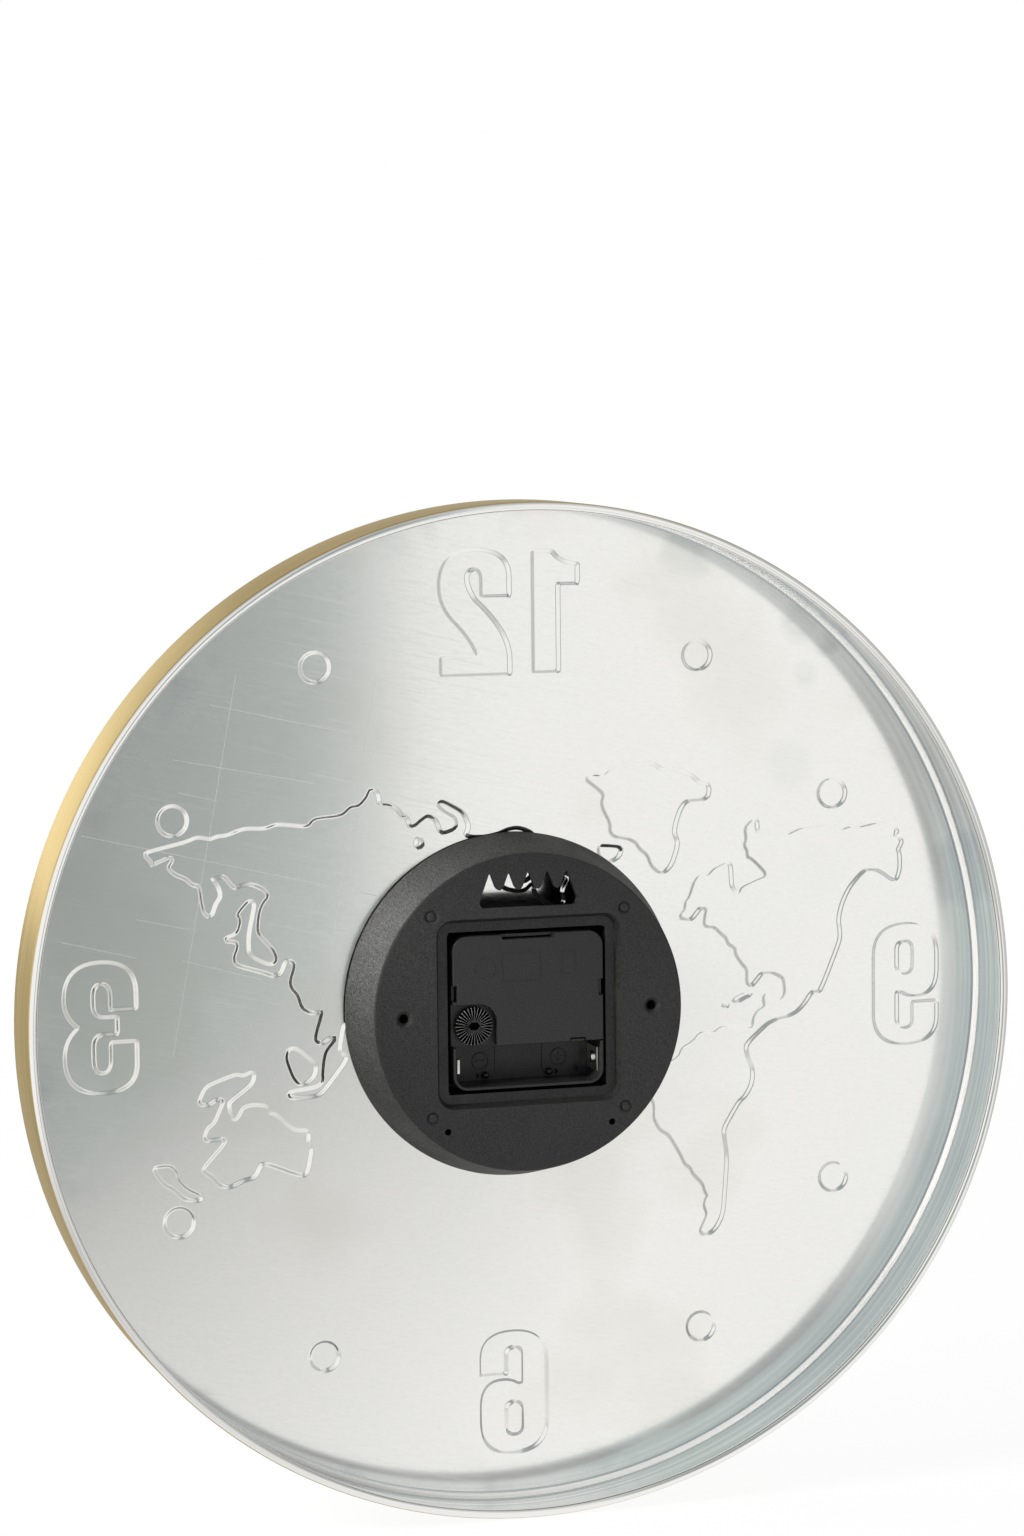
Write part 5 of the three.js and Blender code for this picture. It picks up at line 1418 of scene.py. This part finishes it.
dress(caseTub(movementSet), "case", "black_plastic", "movement_case_front")
dress(rearCover(movementSet), "case", "black_plastic", "movement_rear_cover")
dress(settingKnob(knobSet), "knob", "black_plastic", "setting_knob")
dress(negativeContact(contactSet), "case", "nickel", "negative_contact")
dress(positiveContact(contactSet), "case", "nickel", "positive_contact")
print("movement fitted")


# centre fixing and hands on the front
fixingSet = {
    "bush": 5.0,
    "bushBore": 2.65,
    "bushChamfer": 0.25,
    "thread": 0.75,                    # pitch
    "threadDepth": 0.4,
    "threadStart": 0.3,
    "threadEnd": 1.2,                  # from the flange's rear
    "threadCrest": (0.4, 0.5, 0.95),   # shares of the pitch: crest from, crest to, root
    "acrossFlats": 14.0,
    "nutSides": 144,
    "nutBore": 4.95,
    "nutChamfer": 0.5,
    "nutFace": 0.15,                   # the flat face ends inside the flats
    "nutDrop": (0.04, 0.55),           # least drop of a corner, and its slope
    "nutEdge": (0.02, 0.08),
    "washerBore": 5.25,
    "washerSoft": 0.2,
}


def fixingWasher(s):
    low, high = span("brass_washer")
    shell = Shell()
    soft = s["washerSoft"]
    outer, inner = high[0] - soft, s["washerBore"] + soft
    top, bottom = high[1] - soft, low[1] + soft
    profile = arc(outer, top, soft, 90, 0, 3) + arc(outer, bottom, soft, 0, -90, 3)
    profile += arc(inner, bottom, soft, 270, 180, 3) + arc(inner, top, soft, 180, 90, 3)
    spin(shell, profile, 96)
    return shell.finish("brassWasher", [turnedBrass], sharp=50)


def fixingNut(s):
    low, high = span("fixing_nut")
    shell = Shell()
    count = s["nutSides"]
    turns, ways = waysRound(count)
    flat = s["acrossFlats"] / 2
    reach = flat * hexagonReach(turns)
    least, slope = s["nutDrop"]
    drop = np.maximum(least, (reach - flat) * slope)
    cut, edge = s["nutEdge"]
    bore, face, chamfer = s["nutBore"], flat - s["nutFace"], s["nutChamfer"]
    front, rear = low[1], high[1]
    steps = [
        (bore + chamfer, front), (face, front), (reach - cut, front + drop), (reach, front + drop + edge),
        (reach, rear - drop - edge), (reach - cut, rear - drop), (face, rear), (bore, rear),
        (bore, front + chamfer),
    ]
    rows = [shell.add(ways * np.broadcast_to(r, count)[:, None], y) for r, y in steps]
    for first, second in zip(rows, rows[1:] + rows[:1]):
        shell.band(first, second)
    return shell.finish("fixingNut", [turnedBrass], sharp=32)


def threadedBush(s):
    low, high = span("threaded_bush")
    shell = Shell()
    bore, radius, deep = s["bushBore"], s["bush"], s["threadDepth"]
    chamfer, pitch = s["bushChamfer"], s["thread"]
    crestFrom, crestTo, root = [share * pitch for share in s["threadCrest"]]
    profile = [(bore, low[1] + chamfer), (bore + chamfer, low[1]), (radius - deep, low[1])]
    last = high[1] - s["threadEnd"]
    y = low[1] + s["threadStart"]
    while y + pitch < last:
        profile += [(radius, y + crestFrom), (radius, y + crestTo), (radius - deep, y + root)]
        y += pitch
    profile += [(radius, last), (high[0], last), (high[0], high[1]), (bore, high[1])]
    spin(shell, profile, 64)
    return shell.finish("threadedBush", [turnedBrass], sharp=30)


handSet = {
    "hour": (84.0, 9.0, 2.55),        # length, width, bore
    "minute": (120.0, 7.0, 1.65),
    "second": (124.0, 1.6, 34.0),     # length, width, tail
    "hub": 0.8,                       # hub radius and tip's half width, as shares of the width
    "tip": 0.28,
    "point": (0.3, 0.25),             # rounding of the tip
    "edge": 0.28,
    "cap": 3.2,
    "capEdge": ((0, 0.25), (0.08, 0.1), (0.25, 0.02)),     # cut back and down
    "capFlat": 0.6,
    "capSink": 0.1,
    "blade": 0.6,
    "secondPoint": 0.5,
    "tailNeck": 0.53,                 # half width of the tail at the cap, as a share
    "shown": (10, 10, 35),
}


def turned(points, share):
    # clockwise seen from the front, as a share of a whole turn
    angle = -2 * math.pi * share
    c, n = math.cos(angle), math.sin(angle)
    return np.array(points, float) @ np.array([[c, n], [-n, c]])


def batonOutline(length, width, s):
    hub, tip = width * s["hub"], width * s["tip"]
    slim, drop = tip * s["point"][0], width * s["point"][1]
    neck = math.sqrt(hub * hub - width * width / 4)
    start = math.degrees(math.atan2(neck, width / 2))
    points = arc(0, 0, hub, 180 - start, 360 + start, 36)
    points += [(tip, length - width), (slim, length - drop), (0, length)]
    return points + [(-slim, length - drop), (-tip, length - width)]


def plainHand(name, node, sizes, share, s):
    low, high = span(node)
    length, width, bore = sizes
    shell = Shell()
    outline = turned(batonOutline(length, width, s), share)
    slab(shell, outline, high[1], low[1], s["edge"], [circle(bore, 32)], sign=-1)
    return shell.finish(name, [blackLacquer])


def secondHand(s, share):
    low, high = span("second_hand")
    length, width, tail = s["second"]
    cap, tip = s["cap"], length - s["secondPoint"]
    start = math.degrees(math.acos(width / 2 / cap))
    below = math.degrees(math.acos(width * s["tailNeck"] / cap))
    outline = arc(0, 0, cap, -below, start, 18) + [(width / 4, tip), (0, length), (-width / 4, tip)]
    outline += arc(0, 0, cap, 180 - start, 180 + below, 18) + [(-width, -tail), (width, -tail)]
    shell = Shell()
    blade = high[1] - s["blade"]
    slab(shell, turned(outline, share), high[1], blade, s["edge"] / 2, steps=2, sign=-1)
    root, top = blade + s["capSink"], low[1]
    profile = [(0, root), (cap, root)] + [(cap - back, top + down) for back, down in s["capEdge"]]
    spin(shell, profile + [(cap * s["capFlat"], top), (0, top)], 48)
    return shell.finish("secondHand", [blackLacquer])


def clockHands(s):
    hour, minute, second = s["shown"]
    secondShare = second / 60
    minuteShare = (minute + secondShare) / 60
    hourShare = (hour + minuteShare) / 12
    hourPiece = plainHand("hourHand", "hour_hand", s["hour"], hourShare, s)
    dress(hourPiece, "hour", "black_lacquer", "hour_hand")
    minutePiece = plainHand("minuteHand", "minute_hand", s["minute"], minuteShare, s)
    dress(minutePiece, "minute", "black_lacquer", "minute_hand")
    dress(secondHand(s, secondShare), "second", "black_lacquer", "second_hand")


dress(fixingWasher(fixingSet), "case", "brass", "brass_washer")
dress(fixingNut(fixingSet), "case", "brass", "fixing_nut")
dress(threadedBush(fixingSet), "case", "brass", "threaded_bush")
clockHands(handSet)
print("front fitted")


# wheels and motor inside keep their solids
innerFinishes = {
    "rubber_washer": blackRubber, "hour_wheel": whiteNylon, "minute_arbor": turnedBrass,
    "works_wheel": whiteNylon, "minute_clutch_wheel": whiteNylon, "third_wheel": whiteNylon,
    "seconds_wheel": whiteNylon, "step_wheel": whiteNylon, "rotor": whiteNylon,
    "rotor_magnet": darkMagnet, "stator": softIron, "coil_core": softIron, "coil_bobbin": whiteNylon,
    "coil_winding": copperWire, "circuit_board": brownBoard,
    "clock_chip": glossChip, "quartz_crystal": nickelPlate,
}
for node, finish in innerFinishes.items():
    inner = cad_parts[node]
    inner.data.materials.clear()
    inner.data.materials.append(finish)
print("inner pieces finished")


# floor, grey card, backdrop and lamps, in metres
stageSet = {
    "floorHalf": 12.0,
    "floorColour": (0.93, 0.93, 0.92),
    "floorGrain": 40,
    "floorRough": 0.9,
    "floorShine": 0.1,
    "floorDark": 0.985,               # the grain's darker part
    "floorGlow": (0.94, 1.0),         # share of plain white near the object and far from it
    "floorReach": (0.35, 1.3),
    "cardNear": (0.13, 0.445),        # where the card stands on the floor
    "cardFar": (-0.325, 1.36),
    "cardHeight": 1.6,
    "cardTint": (0.925, 1.0, 1.0),
    "cardTone": (0.35, 0.52),         # brightness at its near and far end
    "cardFoot": 0.11,                 # more at its foot
    "cardAgain": 0.88,                # seen in the rim and the dial together
    "againDepth": (1.2, 1.8),         # none of that at one bounce, all at two
    "cardShade": (0.56, 0.30),        # shade on the floor beside it, and how far that reaches
    "cardShadeEnd": 0.7,              # share of its length where that shade starts to end
    "frontShade": 0.85,               # floor and backdrop in front of the dial
    "frontNear": (-0.25, 0.05),
    "frontFar": (1.5, 4),
    "sideShade": 0.62,                # floor and backdrop on the side of the nine
    "sideLine": (-0.18, 28.0),        # a line on the floor and its turn
    "sideReach": (0.05, 0.3),         # from that line, where the shade starts and is full
    "skyLight": 0.3,
    "overhead": 0.55,                 # the metal sees a greyer ceiling
    "overheadFrom": (0.45, 0.95),
    "backdropFront": (-0.6, 0),
    "backdropSide": (-0.6, -0.45),
    "glowWay": (0.21, -0.975, 0.05),  # bright part of the backdrop that the skirt mirrors
    "glowEdge": (0.955, 0.995),
    "glow": 2.5,
}


def seenByRays(tree):
    rays = tree.nodes.new("ShaderNodeLightPath").outputs
    camera = rays["Is Camera Ray"]
    return camera, sums(tree, "MAXIMUM", camera, rays["Is Glossy Ray"], rays["Is Transmission Ray"])


def besideCard(tree, s):
    # the floor is shaded beside the card
    (x0, y0), (x1, y1) = s["cardNear"], s["cardFar"]
    low, reach = s["cardShade"]
    turn = math.atan2(y1 - y0, x1 - x0)
    length = math.hypot(y1 - y0, x1 - x0)
    mapping = addNode(tree, "ShaderNodeMapping", Vector=placeOf(tree))
    setInputs(tree, mapping, Location=(x0, y0, 0), Rotation=(0, 0, turn))
    mapping.vector_type = "TEXTURE"
    place = mapping.outputs[0]
    gap = axisOf(tree, vectorStep(tree, "ABSOLUTE", place), "Y")
    beside = levels(tree, gap, (0, reach), (low, 1))
    beyond = levels(tree, axisOf(tree, place, "X"), (length * s["cardShadeEnd"], length), (low, 1))
    return sums(tree, "MAXIMUM", beside, beyond)


def inFront(tree, away, s):
    near = levels(tree, axisOf(tree, placeOf(tree), "Y"), s["frontNear"], (s["frontShade"], 1))
    far = levels(tree, away, s["frontFar"], (s["frontShade"], 1))
    return sums(tree, "MAXIMUM", near, far)


def onOneSide(tree, s):
    x0, turn = s["sideLine"]
    turn = math.radians(turn)
    away = vectorStep(tree, "SUBTRACT", placeOf(tree), (x0, 0, 0))
    across = vectorStep(tree, "DOT_PRODUCT", away, (-math.cos(turn), -math.sin(turn), 0))
    return levels(tree, across, s["sideReach"], (1, s["sideShade"]))


def stagePlane(name, corners, material):
    mesh = bpy.data.meshes.new(name)
    mesh.from_pydata(corners, [], [(0, 1, 2, 3)])
    mesh.materials.append(material)
    return intoScene(name, mesh)


def paleFloor(s):
    material, tree, shader = startMaterial("paleFloor")
    grain = levels(tree, grainNoise(tree, s["floorGrain"]), noiseSpan, (0, 1))
    pale = s["floorColour"]
    colour = mixColours(tree, grain, tuple(c * s["floorDark"] for c in pale), pale)
    setInputs(tree, shader, Base_Color=colour, Roughness=s["floorRough"], Specular_IOR_Level=s["floorShine"])
    away = vectorStep(tree, "LENGTH", placeOf(tree))
    camera, seen = seenByRays(tree)
    mirrored = sums(tree, "MULTIPLY", besideCard(tree, s), inFront(tree, away, s), onOneSide(tree, s))
    strength = sums(tree, "MAXIMUM", mirrored, camera)
    white = addNode(tree, "ShaderNodeEmission", Color=(1, 1, 1), Strength=strength)
    share = sums(tree, "MULTIPLY", seen, levels(tree, away, s["floorReach"], s["floorGlow"]))
    mixShaders(tree, share, shader.outputs[0], white.outputs[0], "Material Output")
    low, half = cadBox[0][2], s["floorHalf"]
    corners = [(-half, -half, low), (half, -half, low), (half, half, low), (-half, half, low)]
    floor = stagePlane("paleFloor", corners, material)


def greyCard(s):
    # a card beside the set that only the metal sees
    low = cadBox[0][2]
    top = low + s["cardHeight"]
    (x0, y0), (x1, y1) = s["cardNear"], s["cardFar"]
    material, tree, shader = startMaterial("greyCard")
    tree.nodes.remove(shader)
    place = placeOf(tree)
    tone = levels(tree, axisOf(tree, place, "Y"), (y0, y1), s["cardTone"])
    foot = levels(tree, axisOf(tree, place, "Z"), (low, 0), (s["cardFoot"], 0))
    bounces = tree.nodes.new("ShaderNodeLightPath").outputs["Glossy Depth"]
    again = levels(tree, bounces, s["againDepth"], (0, s["cardAgain"]))
    strength = sums(tree, "MAXIMUM", sums(tree, "ADD", tone, foot), again)
    glow = addNode(tree, "ShaderNodeEmission", Color=s["cardTint"], Strength=strength)
    setInputs(tree, tree.nodes["Material Output"], Surface=glow.outputs[0])
    corners = [(x0, y0, low), (x1, y1, low), (x1, y1, top), (x0, y0, top)]
    card = stagePlane("greyCard", corners, material)
    card.visible_camera = False
    card.visible_diffuse = False
    card.visible_shadow = False
    card.visible_transmission = False


def studioWorld(s):
    world = bpy.data.worlds.new("studio")
    bpy.context.scene.world = world
    world.use_nodes = True
    tree = world.node_tree
    soft = setInputs(tree, tree.nodes["Background"], Color=(1, 1, 1), Strength=s["skyLight"])
    way = placeOf(tree, "Generated")
    ceiling = levels(tree, axisOf(tree, way, "Z"), s["overheadFrom"], (1.0, s["overhead"]))
    front = levels(tree, axisOf(tree, way, "Y"), s["backdropFront"], (s["frontShade"], 1))
    side = levels(tree, axisOf(tree, way, "X"), s["backdropSide"], (s["sideShade"], 1))
    facing = vectorStep(tree, "DOT_PRODUCT", way, Vector(s["glowWay"]).normalized())
    glow = levels(tree, facing, s["glowEdge"], (s["frontShade"], s["glow"]))
    camera, seen = seenByRays(tree)
    level = sums(tree, "MULTIPLY", ceiling, sums(tree, "MAXIMUM", front, glow), side)
    strength = sums(tree, "MAXIMUM", level, camera)
    white = addNode(tree, "ShaderNodeBackground", Color=(1, 1, 1), Strength=strength)
    mixShaders(tree, seen, soft.outputs[0], white.outputs[0], "World Output")


lampSet = {      # place, aim, size, watts, and the spread of a narrow lamp in degrees
    "rearKey": ((1.65, 0.4, 0.95), (0, 0, 0), 0.7, 52.0, None),
    "rearFill": ((-1.0, 1.6, 1.5), (0, 0, 0), 1.4, 6.0, None),
    "frontKey": ((1.0, -1.7, 1.5), (0, 0, 0), 1.6, 14.0, None),
    "housingBeam": ((0.58, 0.155, 0.285), (0.0525, 0.002, 0.031), 0.03, 97.0, 6.4),
}


def studioLamps(s):
    for name, (place, aim, size, watts, spread) in s.items():
        lamp = bpy.data.lights.new(name, "SPOT" if spread else "AREA")
        lamp.energy = watts
        if spread:
            lamp.spot_size = math.radians(spread)
            lamp.spot_blend = 1
            lamp.shadow_soft_size = size
        else:
            lamp.size = size
        light = intoScene(name, lamp)
        light.location = place
        light.rotation_euler = (Vector(aim) - Vector(place)).to_track_quat("-Z", "Y").to_euler()
        light.visible_glossy = False
        light.visible_camera = spread is None


paleFloor(stageSet)
greyCard(stageSet)
studioWorld(stageSet)
studioLamps(lampSet)
print("stage lit")
